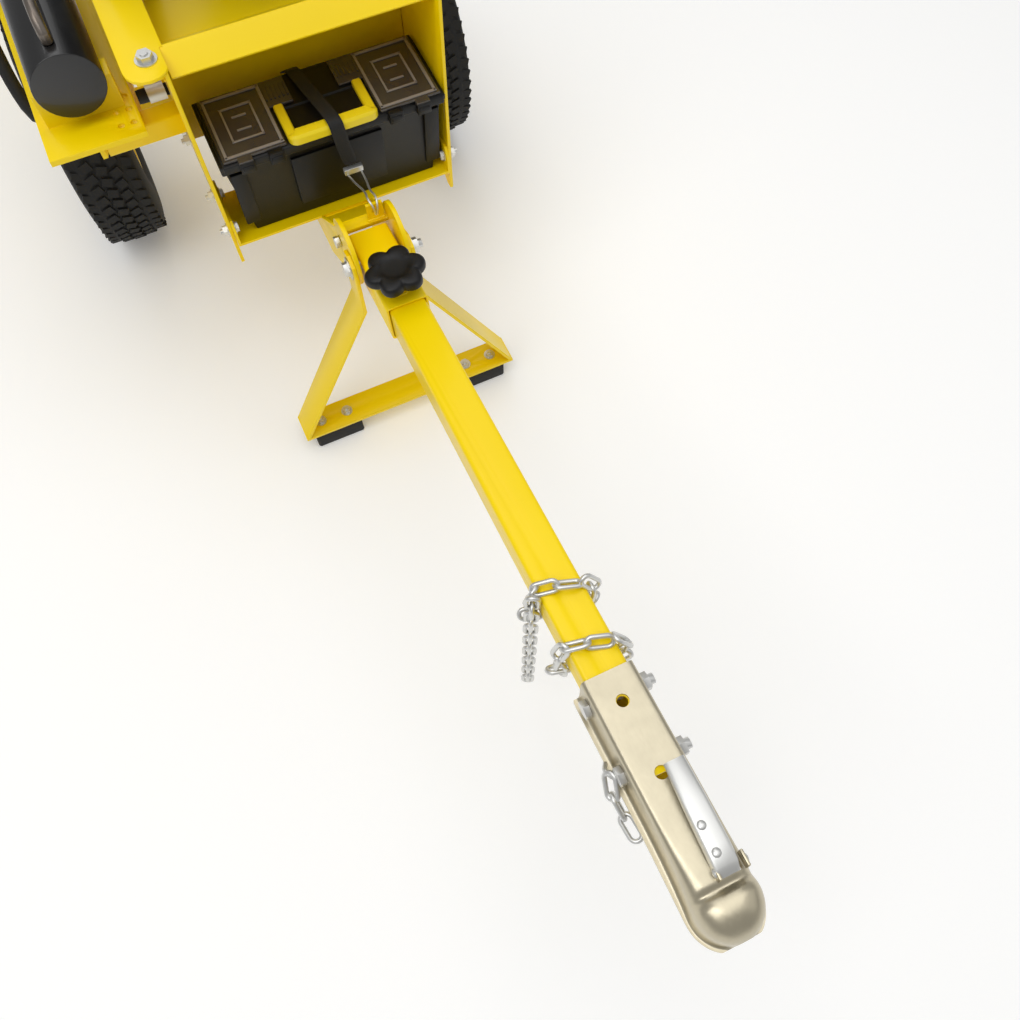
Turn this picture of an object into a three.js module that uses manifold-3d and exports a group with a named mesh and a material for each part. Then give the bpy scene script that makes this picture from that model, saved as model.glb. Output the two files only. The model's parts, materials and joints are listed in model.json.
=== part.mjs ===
// A towable petrol log splitter, in millimetres, +Z up, with its hitch towards -Y.
// Each function builds one sub-part in its own place, and the machine is put together at the end.
import * as THREE from 'three';
import Module from 'manifold-3d';
import { mergeVertices } from 'three/addons/utils/BufferGeometryUtils.js';

const wasm = await Module();
wasm.setup();

// ---------------------------------------------------------------- driving dimensions
const FIT = 0.3;                      // gap between pieces that are cut round each other
const ROUND = 20;                     // sides of a round bar or hole

const TONGUE_PITCH = 0.1;             // rise of the tow bar towards the hitch, radians
const PIVOT = { y: 647, z: 375 };     // fold bolt, which the stand also swings on
const TUBE = 50;                      // square tow tube
const TUBE_WALL = 3;
const TUBE_TOP = 9;                   // tube top above the fold bolt, square to the tube
const TUBE_BOTTOM = TUBE_TOP - TUBE;
const COUPLER_BACK = -654;            // back edge of the coupler from the fold bolt, along the tube
const TUBE_FRONT = COUPLER_BACK - 112;
const TUBE_REAR = -24;
const SLEEVE = 58;
const SLEEVE_FRONT = -104;
const SLEEVE_REAR = 45;
const SLEEVE_TOP = TUBE_TOP + 1 + TUBE_WALL;
const KNOB_Y = -74;
const KNOB_RADIUS = 40;
const PIVOT_BOLT_R = 6;

const CHEEK_IN = 33;                  // yoke cheeks, from the middle
const CHEEK_OUT = 39;
const EAR_R = 46;
const EAR = { y: 672, z: 378 };
const LEG_IN = CHEEK_OUT + 0.5;
const LEG_OUT = LEG_IN + 5;
const STAND_HALF = 187;
const STAND_WIDTH = 49;               // flat bar, front to back
const STAND_TOP = 42;
const STAND_BOTTOM = 37;
const FOOT_IN = 90.4;
const FOOT_OUT = 171.9;

const PLATE_OUT = 172;                // side plates, from the middle
const PLATE_IN = 167;
const PLATE_TOP = 615.7;
const TRAY_HALF = 166.7;
const TRAY_FLOOR = 320;
const TRAY_FRONT = 800;
const TRAY_BACK = 902;
const TRAY_BOLT_Z = 338;
const TRAY_BOLT_YS = [816, 886];

const TANK = { half: 166.5, front: 950, back: 1180, bottom: 385, top: 572, wall: 3 };
const DECK = { half: 215, pan: 165, front: 787, back: 1130, top: 620, floor: 577, sheet: 4 };

const BOX_MID = 6;                    // toolbox, from the machine's middle
const BOX_HALF = 159;
const BOX_FRONT = 796;
const BOX_BACK = 920;
const LID_FRONT = 786;                // the lid stands out over the box's front
const BOX_BOTTOM = 320.3;
const RIM_TOP = 458;
const LID_TOP = 470;

const AXLE = { y: 1277, z: 203 };
const AXLE_BAR = 40;
const WHEEL_LEFT = -318;
const WHEEL_RIGHT = 270;
const TYRE_R = 203;
const SPINDLE_R = 10;

const BEAM = { mid: -277, half: 60, top: 535, bottom: 415, flange: 8, front: 816, keel: 968, back: 2070 };
const CYLINDER = { z: 595, outer: 42, bore: 35, front: 850, back: 1390 };
const ROD_R = 17.5;
const PUSHER_FACE = 1455;
const WEDGE_EDGE = 1930;
const SHAFT = { y: 1010, z: 672 };    // engine crankshaft and pump axis
const FUEL = { bottom: 765, top: 835, capX: 60, capY: 1000 };

const ELBOW = { y: 1045, z: 401 };    // where the return hose enters the tank

// ---------------------------------------------------------------- materials
const paint = new THREE.MeshStandardMaterial({ color: 0xf2c200, roughness: 0.35, metalness: 0.1 });
const zinc = new THREE.MeshStandardMaterial({ color: 0xb9b9b4, roughness: 0.35, metalness: 0.9 });
const passivated = new THREE.MeshStandardMaterial({ color: 0xcfc4a0, roughness: 0.35, metalness: 0.9 });
const blackPlastic = new THREE.MeshStandardMaterial({ color: 0x17171a, roughness: 0.5, metalness: 0 });
const smoke = new THREE.MeshStandardMaterial({ color: 0x4a423a, roughness: 0.2, metalness: 0 });
const rubber = new THREE.MeshStandardMaterial({ color: 0x111111, roughness: 0.85, metalness: 0 });
const yellowPlastic = new THREE.MeshStandardMaterial({ color: 0xf4d90e, roughness: 0.4, metalness: 0 });
const blackPaint = new THREE.MeshStandardMaterial({ color: 0x141414, roughness: 0.35, metalness: 0.2 });
const castAlloy = new THREE.MeshStandardMaterial({ color: 0x8d9094, roughness: 0.5, metalness: 0.7 });
const chrome = new THREE.MeshStandardMaterial({ color: 0xd8dadd, roughness: 0.1, metalness: 1 });
const steel = new THREE.MeshStandardMaterial({ color: 0x77777a, roughness: 0.4, metalness: 0.9 });

// ---------------------------------------------------------------- solids
function toManifold(geometry) {
  const plain = geometry.clone();
  plain.deleteAttribute('normal');
  plain.deleteAttribute('uv');
  const merged = mergeVertices(plain, 1e-4);
  const vertProperties = new Float32Array(merged.attributes.position.array);
  const triVerts = new Uint32Array(merged.index.array);
  return new wasm.Manifold(new wasm.Mesh({ numProp: 3, vertProperties, triVerts }));
}

function toGeometry(manifold) {
  const mesh = manifold.getMesh();
  const geometry = new THREE.BufferGeometry();
  geometry.setAttribute('position', new THREE.BufferAttribute(mesh.vertProperties, 3));
  geometry.setIndex(new THREE.BufferAttribute(mesh.triVerts, 1));
  return geometry;
}

function join(...geometries) {
  return toGeometry(geometries.map(toManifold).reduce((whole, piece) => whole.add(piece)));
}

function cut(base, ...tools) {
  return toGeometry(tools.map(toManifold).reduce((left, tool) => left.subtract(tool), toManifold(base)));
}

// A block between two corners.
function block(x0, x1, y0, y1, z0, z1) {
  const box = new THREE.BoxGeometry(x1 - x0, y1 - y0, z1 - z0);
  return box.translate((x0 + x1) / 2, (y0 + y1) / 2, (z0 + z1) / 2);
}

// A block whose bottom is smaller than its top by inset on every side.
function taperedBlock(x0, x1, y0, y1, z0, z1, inset) {
  const box = block(x0, x1, y0, y1, z0, z1);
  const position = box.attributes.position;
  const middle = new THREE.Vector2((x0 + x1) / 2, (y0 + y1) / 2);
  for (let i = 0; i < position.count; i += 1) {
    if (position.getZ(i) < (z0 + z1) / 2) {
      position.setX(i, position.getX(i) - inset * Math.sign(position.getX(i) - middle.x));
      position.setY(i, position.getY(i) - inset * Math.sign(position.getY(i) - middle.y));
    }
  }
  return box;
}

// Where an extruded outline's first, second and depth directions point, for each axis it runs along.
const PRISM_BASIS = {
  x: [new THREE.Vector3(0, 1, 0), new THREE.Vector3(0, 0, 1), new THREE.Vector3(1, 0, 0)],
  y: [new THREE.Vector3(1, 0, 0), new THREE.Vector3(0, 0, 1), new THREE.Vector3(0, -1, 0)],
  z: [new THREE.Vector3(1, 0, 0), new THREE.Vector3(0, 1, 0), new THREE.Vector3(0, 0, 1)],
};

// An outline in the plane square to an axis, run from one place on the axis to another.
function prismOf(shape, axis, from, to) {
  const geometry = new THREE.ExtrudeGeometry(shape, {
    depth: to - from, bevelEnabled: false, curveSegments: 2,
  });
  geometry.applyMatrix4(new THREE.Matrix4().makeBasis(...PRISM_BASIS[axis]));
  const start = axis === 'y' ? to : from;
  return geometry.translate(axis === 'x' ? start : 0, axis === 'y' ? start : 0, axis === 'z' ? start : 0);
}

function prism(axis, points, from, to) {
  return prismOf(new THREE.Shape(points.map(([u, v]) => new THREE.Vector2(u, v))), axis, from, to);
}

// A round bar along an axis, at the place (u, v) in the plane square to it.
function bar(axis, radius, from, to, u = 0, v = 0, sides = ROUND) {
  const geometry = new THREE.CylinderGeometry(radius, radius, to - from, sides);
  const middle = (from + to) / 2;
  if (axis === 'x') return geometry.rotateZ(-Math.PI / 2).translate(middle, u, v);
  if (axis === 'y') return geometry.translate(u, middle, v);
  return geometry.rotateX(Math.PI / 2).translate(u, v, middle);
}

// A square or rectangular outline with round corners.
function roundedShape(x0, x1, y0, y1, radius) {
  const shape = new THREE.Shape();
  shape.moveTo(x0 + radius, y0);
  shape.lineTo(x1 - radius, y0);
  shape.absarc(x1 - radius, y0 + radius, radius, -Math.PI / 2, 0, false);
  shape.absarc(x1 - radius, y1 - radius, radius, 0, Math.PI / 2, false);
  shape.absarc(x0 + radius, y1 - radius, radius, Math.PI / 2, Math.PI, false);
  shape.absarc(x0 + radius, y0 + radius, radius, Math.PI, 1.5 * Math.PI, false);
  return shape;
}

// A strip of constant thickness below a line of points, as the outline of a bent sheet.
function bentSheet(line, thickness) {
  const offset = line.map(([u, v], i) => {
    const before = line[Math.max(i - 1, 0)];
    const after = line[Math.min(i + 1, line.length - 1)];
    const a = new THREE.Vector2(u - before[0], v - before[1]).normalize();
    const b = new THREE.Vector2(after[0] - u, after[1] - v).normalize();
    const along = a.clone().add(b).normalize();
    const reach = thickness / Math.max(along.dot(i === 0 ? b : a), 0.3);
    return [u + along.y * reach, v - along.x * reach];
  });
  return [...line, ...offset.reverse()];
}

// A pipe, hose or wire along a smooth curve through points.
function pipe(points, radius, sides = 10, steps = 24) {
  const path = new THREE.CatmullRomCurve3(points.map((p) => new THREE.Vector3(...p)), false, 'centripetal');
  const section = new THREE.Shape();
  section.absarc(0, 0, radius, 0, 2 * Math.PI, false);
  return new THREE.ExtrudeGeometry(section, { steps, extrudePath: path, curveSegments: sides / 2 });
}

// A turned piece about X, from an outline of [radius, place along X] points that closes on itself.
function turned(outline, segments = 28) {
  const points = [...outline, outline[0]].map(([radius, x]) => new THREE.Vector2(radius, x));
  if (THREE.ShapeUtils.area(points) < 0) points.reverse();
  return new THREE.LatheGeometry(points, segments).rotateZ(-Math.PI / 2);
}

// A bolt along X with its head at one end and its nut at the other.
function crossBolt(radius, headFrom, headTo, nutFrom, nutTo, tip, y, z) {
  const across = radius * 1.75;
  const head = bar('x', across, headFrom, headTo, y, z, 6);
  const nut = bar('x', across, nutFrom, nutTo, y, z, 6);
  const low = Math.min(headFrom, tip);
  const high = Math.max(headTo, tip);
  return join(bar('x', radius, low, high, y, z, 16), head, nut);
}

// ---------------------------------------------------------------- hitch and tow bar
function towTube() {
  const outer = roundedShape(-TUBE / 2, TUBE / 2, TUBE_BOTTOM, TUBE_TOP, 5);
  const w = TUBE_WALL;
  outer.holes.push(roundedShape(-TUBE / 2 + w, TUBE / 2 - w, TUBE_BOTTOM + w, TUBE_TOP - w, 2));
  const tube = prismOf(outer, 'y', TUBE_FRONT, TUBE_REAR);
  const holes = COUPLER_BOLTS.map((y) => bar('x', 6 + FIT, -TUBE, TUBE, y, BOLT_LINE, 16));
  return cut(tube, ...holes, bar('z', 6, 0, TUBE, 0, COUPLER_BACK - 34, 16));
}

const COUPLER_BOLTS = [COUPLER_BACK - 20, COUPLER_BACK - 94];
const BOLT_LINE = TUBE_TOP - 22;
const COUPLER_HALF = 29.8;
const COUPLER_WALL = 3.2;
const SOCKET_Y = COUPLER_BACK - 238;
const SOCKET_Z = TUBE_TOP - 27;
const SOCKET_R = 31;
const FLANGE_Z = TUBE_TOP - 46;
const COUPLER_TOP = TUBE_TOP + FIT + COUPLER_WALL;
const LATCH_PIN = { y: COUPLER_BACK - 212, z: COUPLER_TOP + 8 };
const LATCH_MID = 13;
const LATCH_HALF = 12.5;

function couplerFlange() {
  const outline = new THREE.Shape();
  outline.moveTo(-40, COUPLER_BACK - 10);
  outline.lineTo(-42, SOCKET_Y);
  outline.absarc(0, SOCKET_Y, 42, Math.PI, 2 * Math.PI, false);
  outline.lineTo(40, COUPLER_BACK - 10);
  return prismOf(outline, 'z', FLANGE_Z, FLANGE_Z + 4);
}

function coupler() {
  const shell = roundedShape(-COUPLER_HALF, COUPLER_HALF, FLANGE_Z, COUPLER_TOP, 6);
  const channel = prismOf(shell, 'y', SOCKET_Y, COUPLER_BACK);
  const dome = new THREE.SphereGeometry(SOCKET_R, 20, 12).rotateX(Math.PI / 2).translate(0, SOCKET_Y, SOCKET_Z);
  const skirt = bar('z', SOCKET_R, FLANGE_Z, SOCKET_Z, 0, SOCKET_Y);
  const lugs = [-1, 1].map((side) => {
    const a = LATCH_MID + side * (LATCH_HALF + 0.6);
    const b = LATCH_MID + side * (LATCH_HALF + 3.6);
    return block(Math.min(a, b), Math.max(a, b), LATCH_PIN.y - 8, LATCH_PIN.y + 8, TUBE_TOP + 2, LATCH_PIN.z + 7);
  });
  const body = join(channel, dome, skirt, couplerFlange(), ...lugs);
  const inside = COUPLER_HALF - COUPLER_WALL;
  const tunnel = block(-inside, inside, SOCKET_Y, COUPLER_BACK + 1, FLANGE_Z - 1, TUBE_TOP + FIT);
  const cup = new THREE.SphereGeometry(26, 20, 12).rotateX(Math.PI / 2).translate(0, SOCKET_Y, SOCKET_Z);
  const mouth = bar('z', 26, SOCKET_Z - 40, SOCKET_Z, 0, SOCKET_Y);
  const topHoles = [34, 112].map((s) => bar('z', 7, 0, COUPLER_TOP + 1, 0, COUPLER_BACK - s, 16));
  const boltHoles = COUPLER_BOLTS.map((y) => bar('x', 6 + FIT, -TUBE, TUBE, y, BOLT_LINE, 16));
  const slotEnds = [LATCH_PIN.y - 2, LATCH_PIN.y + 38];
  const latchSlot = block(LATCH_MID - 8, LATCH_MID + 8, ...slotEnds, 0, COUPLER_TOP + 1);
  const chainHole = bar('z', 6.5, FLANGE_Z - 1, FLANGE_Z + 5, -35.5, COUPLER_BACK - 92, 12);
  const pinHole = bar('x', 3.5 + FIT, -TUBE, TUBE, LATCH_PIN.y, LATCH_PIN.z, 12);
  return cut(body, tunnel, cup, mouth, ...topHoles, ...boltHoles, latchSlot, chainHole, pinHole);
}

// The latch: a lever on lugs over the channel, riveted to its pin, with a shank down to the ball clamp.
function couplerLatch() {
  const { y, z } = LATCH_PIN;
  const low = COUPLER_TOP + 0.8;
  const back = y + 102;
  const side = [[back, low + 3], [back, low + 17], [y, z + 8], [y - 10, z + 2], [y, low]];
  const lever = prism('x', side, LATCH_MID - LATCH_HALF, LATCH_MID + LATCH_HALF);
  const shank = block(LATCH_MID - 6.5, LATCH_MID + 6.5, y + 6, y + 22, SOCKET_Z - 4, low + 6);
  const clamp = block(-8, LATCH_MID + 6.5, y + 2, y + 22, SOCKET_Z - 12, SOCKET_Z);
  const reach = LATCH_HALF + 5;
  const pin = bar('x', 3.5, LATCH_MID - reach, LATCH_MID + reach, y, z, 12);
  return join(lever, shank, clamp, pin);
}

// The chain's outer shape: two turns round the tow tube, the run between them and the hanging end.
function safetyChain() {
  const lean = 0.3;
  const turns = [104, 32].map((s) => {
    const y = COUPLER_BACK + s;
    const slab = (half, width, low, high) => prism('z', [[-half, y + half * lean - width],
      [half, y - half * lean - width], [half, y - half * lean + width], [-half, y + half * lean + width]], low, high);
    return cut(slab(34, 7, TUBE_BOTTOM - 9, TUBE_TOP + 9),
      slab(TUBE / 2 + 0.6, 8, TUBE_BOTTOM - 0.6, TUBE_TOP + 0.6));
  });
  const run = block(-7, 7, COUPLER_BACK + 30, COUPLER_BACK + 106, TUBE_BOTTOM - 9, TUBE_BOTTOM - 0.6);
  const top = new THREE.Vector3(-36, COUPLER_BACK + 103, TUBE_TOP - 4);
  const down = new THREE.Vector3(0, Math.sin(TONGUE_PITCH), -Math.cos(TONGUE_PITCH));
  const end = top.clone().addScaledVector(down, 370);
  const tail = pipe([top.toArray(), top.clone().lerp(end, 0.5).toArray(), end.toArray()], 9, 4, 4);
  return join(...turns, run, tail);
}

function sleeve() {
  const outer = roundedShape(-SLEEVE / 2, SLEEVE / 2, SLEEVE_TOP - SLEEVE, SLEEVE_TOP, 5);
  const half = SLEEVE / 2 - TUBE_WALL;
  outer.holes.push(roundedShape(-half, half, SLEEVE_TOP - SLEEVE + TUBE_WALL, SLEEVE_TOP - TUBE_WALL, 2));
  const body = prismOf(outer, 'y', SLEEVE_FRONT, SLEEVE_REAR);
  const nut = bar('z', 14, SLEEVE_TOP - 1, SLEEVE_TOP + 11, 0, KNOB_Y, 6);
  const pivotHole = bar('x', PIVOT_BOLT_R + FIT, -TUBE, TUBE, 0, 0, 16);
  return cut(join(body, nut), pivotHole, bar('z', 6 + FIT, 0, TUBE, 0, KNOB_Y, 16));
}

const KNOB_LOW = SLEEVE_TOP + 13;

// Six lobes with hollows between them, over a narrower hub and the screw moulded into it.
function clampKnob() {
  const lobes = 6;
  const points = [];
  const sides = lobes * 7;
  for (let i = 0; i < sides; i += 1) {
    const angle = (i / sides) * 2 * Math.PI;
    const radius = KNOB_RADIUS - 4 + 4 * Math.cos(lobes * angle);
    points.push(new THREE.Vector2(radius * Math.cos(angle), radius * Math.sin(angle)));
  }
  const rim = new THREE.ExtrudeGeometry(new THREE.Shape(points), {
    depth: 16, bevelThickness: 3, bevelSize: 3, bevelOffset: -3, bevelSegments: 1,
  }).translate(0, KNOB_Y, KNOB_LOW + 7);
  const hub = bar('z', 15, KNOB_LOW, KNOB_LOW + 10, 0, KNOB_Y, 20);
  const screw = bar('z', 6, TUBE_TOP + FIT, KNOB_LOW + 8, 0, KNOB_Y, 16);
  return join(toGeometry(toManifold(rim)), hub, screw);
}

// ---------------------------------------------------------------- yoke and stand
function cheek(side) {
  const ear = bar('x', EAR_R, CHEEK_IN, CHEEK_OUT, EAR.y, EAR.z, 36);
  const arm = [[948, 252], [948, 316], [798, 316], [716, 386], [672, 386], [650, 337], [690, 318], [790, 252]];
  const plate = join(ear, prism('x', arm, CHEEK_IN, CHEEK_OUT));
  const bored = cut(plate, bar('x', PIVOT_BOLT_R + FIT, 0, 60, PIVOT.y, PIVOT.z, 16));
  return side < 0 ? bored.translate(-CHEEK_IN - CHEEK_OUT, 0, 0) : bored;
}

const LOCK = { y: 699, z: 372 };

function yoke() {
  const web = [[948, 316], [798, 316], [716, 386], [698, 386], [698, 380], [713, 380], [795, 310], [948, 310]];
  const back = block(-CHEEK_OUT, CHEEK_OUT, 942, 949.7, 252, 384.7);
  const eye = block(6.5, 29.5, 702, 707, 384, 413);
  const body = join(cheek(-1), cheek(1), prism('x', web, -CHEEK_OUT, CHEEK_OUT), back, eye);
  const lockHole = bar('x', 5 + FIT, -60, -CHEEK_IN + 1, LOCK.y, LOCK.z, 16);
  return cut(body, lockHole, bar('y', 4, 700, 710, 18, 401, 12));
}

function foldLockBolt() {
  const head = bar('x', 8.5, -CHEEK_OUT - 8, -CHEEK_OUT - FIT, LOCK.y, LOCK.z, 6);
  return join(head, bar('x', 5, -CHEEK_OUT - 2, -30, LOCK.y, LOCK.z, 16));
}

// One leg, bent outwards below the yoke, on the +X side. Places are from the fold bolt.
function standLeg() {
  const half = STAND_WIDTH / 2;
  const knee = 304 - PIVOT.z;
  const tab = new THREE.Shape();
  tab.moveTo(-half, knee);
  tab.lineTo(half, knee);
  tab.lineTo(half, 0);
  tab.absarc(0, 0, half, 0, Math.PI, false);
  const top = prismOf(tab, 'x', LEG_IN, LEG_OUT);
  const foot = STAND_TOP - PIVOT.z;
  const slope = [[LEG_IN, knee + 4], [LEG_OUT, knee + 1.5], [STAND_HALF, foot - 2], [STAND_HALF - 5.7, foot - 2],
    [LEG_IN, knee]];
  const leg = join(top, prism('y', slope, -half, half));
  return cut(leg, bar('x', PIVOT_BOLT_R + FIT, 0, 60, 0, 0, 16));
}

function standFrame() {
  const half = STAND_WIDTH / 2;
  const right = standLeg();
  const left = toGeometry(toManifold(standLeg()).mirror([1, 0, 0]));
  const low = STAND_BOTTOM - PIVOT.z;
  const high = STAND_TOP - PIVOT.z;
  const holes = [-154, -108, 108, 154].map((x) => bar('z', 4, low - 1, high + 1, x, 0, 12));
  return cut(join(right, left, block(-STAND_HALF, STAND_HALF, -half, half, low, high)), ...holes);
}

function standFoot(side) {
  const low = -PIVOT.z;
  const high = STAND_BOTTOM - PIVOT.z;
  const x0 = side < 0 ? -FOOT_OUT : FOOT_IN;
  return prismOf(roundedShape(x0, x0 + FOOT_OUT - FOOT_IN, -22, 22, 4), 'z', low, high);
}

// ---------------------------------------------------------------- tray, plates, tank and deck
function sidePlate(side) {
  const outline = [[808, 276], [820, 276], [852, 300], [1190, 300], [1232, 215], [1246, 172], [1308, 172],
    [1335, 215], [1335, 320], [1182, 440], [1182, PLATE_TOP], [796, PLATE_TOP], [795, 606]];
  const plate = prism('x', outline, PLATE_IN, PLATE_OUT);
  const lug = block(PLATE_OUT - 1, 205, 800, 845, 607, PLATE_TOP);
  const bolts = TRAY_BOLT_YS.map((y) => bar('x', 4 + FIT, 150, 190, y, TRAY_BOLT_Z, 12));
  const half = AXLE_BAR / 2 + FIT;
  const slot = block(150, 190, AXLE.y - half, AXLE.y + half, AXLE.z - half, AXLE.z + half);
  const elbowHole = bar('x', 12, 150, 190, ELBOW.y, ELBOW.z, 16);
  const made = cut(join(plate, lug), ...bolts, slot, ...(side < 0 ? [elbowHole] : []));
  return side < 0 ? toGeometry(toManifold(made).mirror([1, 0, 0])) : made;
}

function toolTray() {
  const flange = (x0, x1) => {
    const outline = new THREE.Shape();
    outline.moveTo(TRAY_FRONT, TRAY_FLOOR - 4);
    outline.lineTo(TRAY_BACK, TRAY_FLOOR - 4);
    outline.lineTo(TRAY_BACK, 342);
    outline.absarc(TRAY_BACK - 18, 342, 18, 0, Math.PI / 2, false);
    outline.lineTo(TRAY_FRONT + 8, 360);
    outline.lineTo(TRAY_FRONT, 340);
    return prismOf(outline, 'x', x0, x1);
  };
  const floor = block(-TRAY_HALF, TRAY_HALF, TRAY_FRONT, TRAY_BACK, TRAY_FLOOR - 4, TRAY_FLOOR);
  const body = join(floor, flange(-TRAY_HALF, 4 - TRAY_HALF), flange(TRAY_HALF - 4, TRAY_HALF));
  return cut(body, ...TRAY_BOLT_YS.map((y) => bar('x', 4 + FIT, -190, 190, y, TRAY_BOLT_Z, 12)));
}

function hydraulicTank() {
  const { half, front, back, bottom, top, wall } = TANK;
  const shell = block(-half, half, front, back, bottom, top);
  const inside = block(wall - half, half - wall, front + wall, back - wall, bottom + wall, top - wall);
  const filler = bar('z', 18, top - 5, top + 5, 110, 1155, 20);
  const returnPort = bar('x', 9, -half - 1, -half + 5, ELBOW.y, ELBOW.z, 12);
  const filter = bar('y', 16, back - 5, back + 5, 40, 490, 16);
  return cut(shell, inside, filler, filter, returnPort);
}

function tankCap() {
  const cap = bar('z', 23, TANK.top + FIT, TANK.top + 24, 110, 1155, 20);
  const plug = bar('z', 17.5, TANK.top - 14, TANK.top + 1, 110, 1155, 20);
  return join(cap, plug, bar('z', 3, TANK.bottom + 40, TANK.top - 10, 110, 1155, 8));
}

function deck() {
  const { half, pan, front, back, top, floor, sheet } = DECK;
  const flange = prismOf(roundedShape(pan - sheet, half, front, back + 40, 26), 'z', top - sheet, top);
  const right = cut(flange, block(pan - 40, half + 1, back, back + 60, top - 20, top + 5),
    block(pan - 20, pan, 700, 838, top - 20, top + 5));
  const left = toGeometry(toManifold(right).mirror([1, 0, 0]));
  const middle = bentSheet([[805, 601], [838, top], [900, floor], [back, floor]], sheet);
  const wall = [[836, top], [back, top], [back, floor - sheet], [899, floor - sheet], [836, top - sheet]];
  const wallR = prism('x', wall, pan - sheet, pan);
  const wallL = prism('x', wall, -pan, sheet - pan);
  return join(left, right, prism('x', middle, -pan, pan), wallL, wallR);
}

// ---------------------------------------------------------------- toolbox
function toolboxBody() {
  const x0 = BOX_MID - BOX_HALF;
  const x1 = BOX_MID + BOX_HALF;
  const shell = taperedBlock(x0 + 4, x1 - 4, BOX_FRONT + 4, BOX_BACK - 4, BOX_BOTTOM, RIM_TOP, 16);
  const rim = block(x0, x1, BOX_FRONT, BOX_BACK, RIM_TOP - 10, RIM_TOP);
  const inside = taperedBlock(x0 + 8, x1 - 8, BOX_FRONT + 8, BOX_BACK - 8, BOX_BOTTOM + 4, RIM_TOP + 1, 16);
  return cut(join(shell, rim), inside);
}

const ORGANIZER = { inner: 66, outer: 152, tail: 32, step: 860, front: LID_FRONT + 4, back: BOX_BACK - 10 };
const POCKET = { near: 72, far: 144, front: 812, back: 902, floor: LID_TOP - 26, wall: 3 };

function toolboxLid() {
  const low = RIM_TOP + FIT;
  const x0 = BOX_MID - BOX_HALF;
  const x1 = BOX_MID + BOX_HALF;
  const skirt = block(x0, x1, LID_FRONT + 6, BOX_BACK, low, low + 8);
  const top = block(x0 + 4, x1 - 4, LID_FRONT, BOX_BACK - 4, low, LID_TOP);
  const under = block(x0 + 8, x1 - 8, BOX_FRONT + 8, BOX_BACK - 8, low - 1, low + 6);
  const grip = block(BOX_MID - 48, BOX_MID + 48, LID_FRONT + 16, LID_FRONT + 70, low + 9, LID_TOP + 1);
  const { near, far, front, back, floor, wall } = POCKET;
  const pocket = (side, grow, top) => {
    const a = BOX_MID + side * (near - grow);
    const b = BOX_MID + side * (far + grow);
    return block(Math.min(a, b), Math.max(a, b), front - grow, back + grow, floor - grow, top);
  };
  const cups = [-1, 1].map((side) => pocket(side, wall, LID_TOP - 1));
  const pockets = [-1, 1].map((side) => pocket(side, 0, LID_TOP + 1));
  return cut(join(cut(join(skirt, top), under), ...cups), ...pockets, grip);
}

// A clear lid over one of the small-parts pockets, with its clip at the front.
function organizerLid(side) {
  const { inner, outer, tail, step, front, back } = ORGANIZER;
  const low = LID_TOP + FIT;
  const plate = block(inner, outer, front, back, low, LID_TOP + 4.5);
  const strip = block(tail, inner + 1, step, back, low, LID_TOP + 4.5);
  const clip = block(outer - 38, outer - 18, front - 9, front + 1, LID_TOP - 14, LID_TOP + 4.5);
  const lid = join(plate, strip, cut(clip, block(0, outer, front - 5, front + 9, LID_TOP - 20, low)));
  const placed = side < 0 ? toGeometry(toManifold(lid).mirror([1, 0, 0])) : lid;
  return placed.translate(BOX_MID, 0, 0);
}

function toolboxHandle() {
  const low = LID_TOP + FIT;
  const half = 62;
  const grip = block(-half, half, -9, 9, low, low + 14);
  const arms = [block(-half, 14 - half, 0, 64, low, low + 9), block(half - 14, half, 0, 64, low, low + 9)];
  return join(grip, ...arms).translate(BOX_MID, LID_FRONT + 6, 0);
}

// The strap, from the tank wall over the lid and the handle and down to its clip.
const STRAP = { front: 779, width: 20, x: 7.5, lean: 0.129, drop: 0.16, thickness: 3 };
const STRAP_LINE = [[783, 408], [777.5, 480], [779.5, 487.5], [788, 491.5], [806, 490.5], [917, 476], [949.4, 446]];

function toolboxStrap() {
  const half = STRAP.width / 2;
  const strap = prism('x', bentSheet(STRAP_LINE, STRAP.thickness), STRAP.x - half, STRAP.x + half);
  const position = strap.attributes.position;
  for (let i = 0; i < position.count; i += 1) {
    const back = Math.max(position.getY(i) - STRAP.front, 0) * STRAP.lean;
    const down = position.getY(i) < BOX_FRONT ? Math.max(LID_TOP - position.getZ(i), 0) * STRAP.drop : 0;
    position.setX(i, position.getX(i) - back + down);
  }
  return strap;
}

function strapClip() {
  return block(4, 31, 779, 787, 398, 407);
}

function wireHook() {
  const half = [[8, 783, 395], [11, 752, 407], [15, 716, 419], [15.4, 704.5, 420], [15.6, 697, 414],
    [16.2, 695.5, 406]];
  const other = half.map(([x, y, z]) => [36 - x, y, z]).reverse();
  return pipe([...half, [18, 696.5, 400], ...other], 1.5, 6, 28);
}

// ---------------------------------------------------------------- axle and wheels
function axle() {
  const half = AXLE_BAR / 2;
  const { y, z } = AXLE;
  const middle = block(-258, 212, y - half, y + half, z - half, z + half);
  return join(middle, bar('x', SPINDLE_R, WHEEL_LEFT - 66, WHEEL_RIGHT + 66, y, z));
}

function tyre() {
  const tread = [[103.9, 38], [103.9, 45], [112.5, 45], [122, 54], [150, 57], [194, 49], [202, 36]];
  const cavity = [[116, -40], [150, -46], [192, -32], [192, 32], [150, 46], [116, 40]];
  const farSide = tread.map(([radius, x]) => [radius, -x]).reverse();
  return turned([...tread, [TYRE_R, 0], ...farSide, ...cavity]);
}

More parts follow.
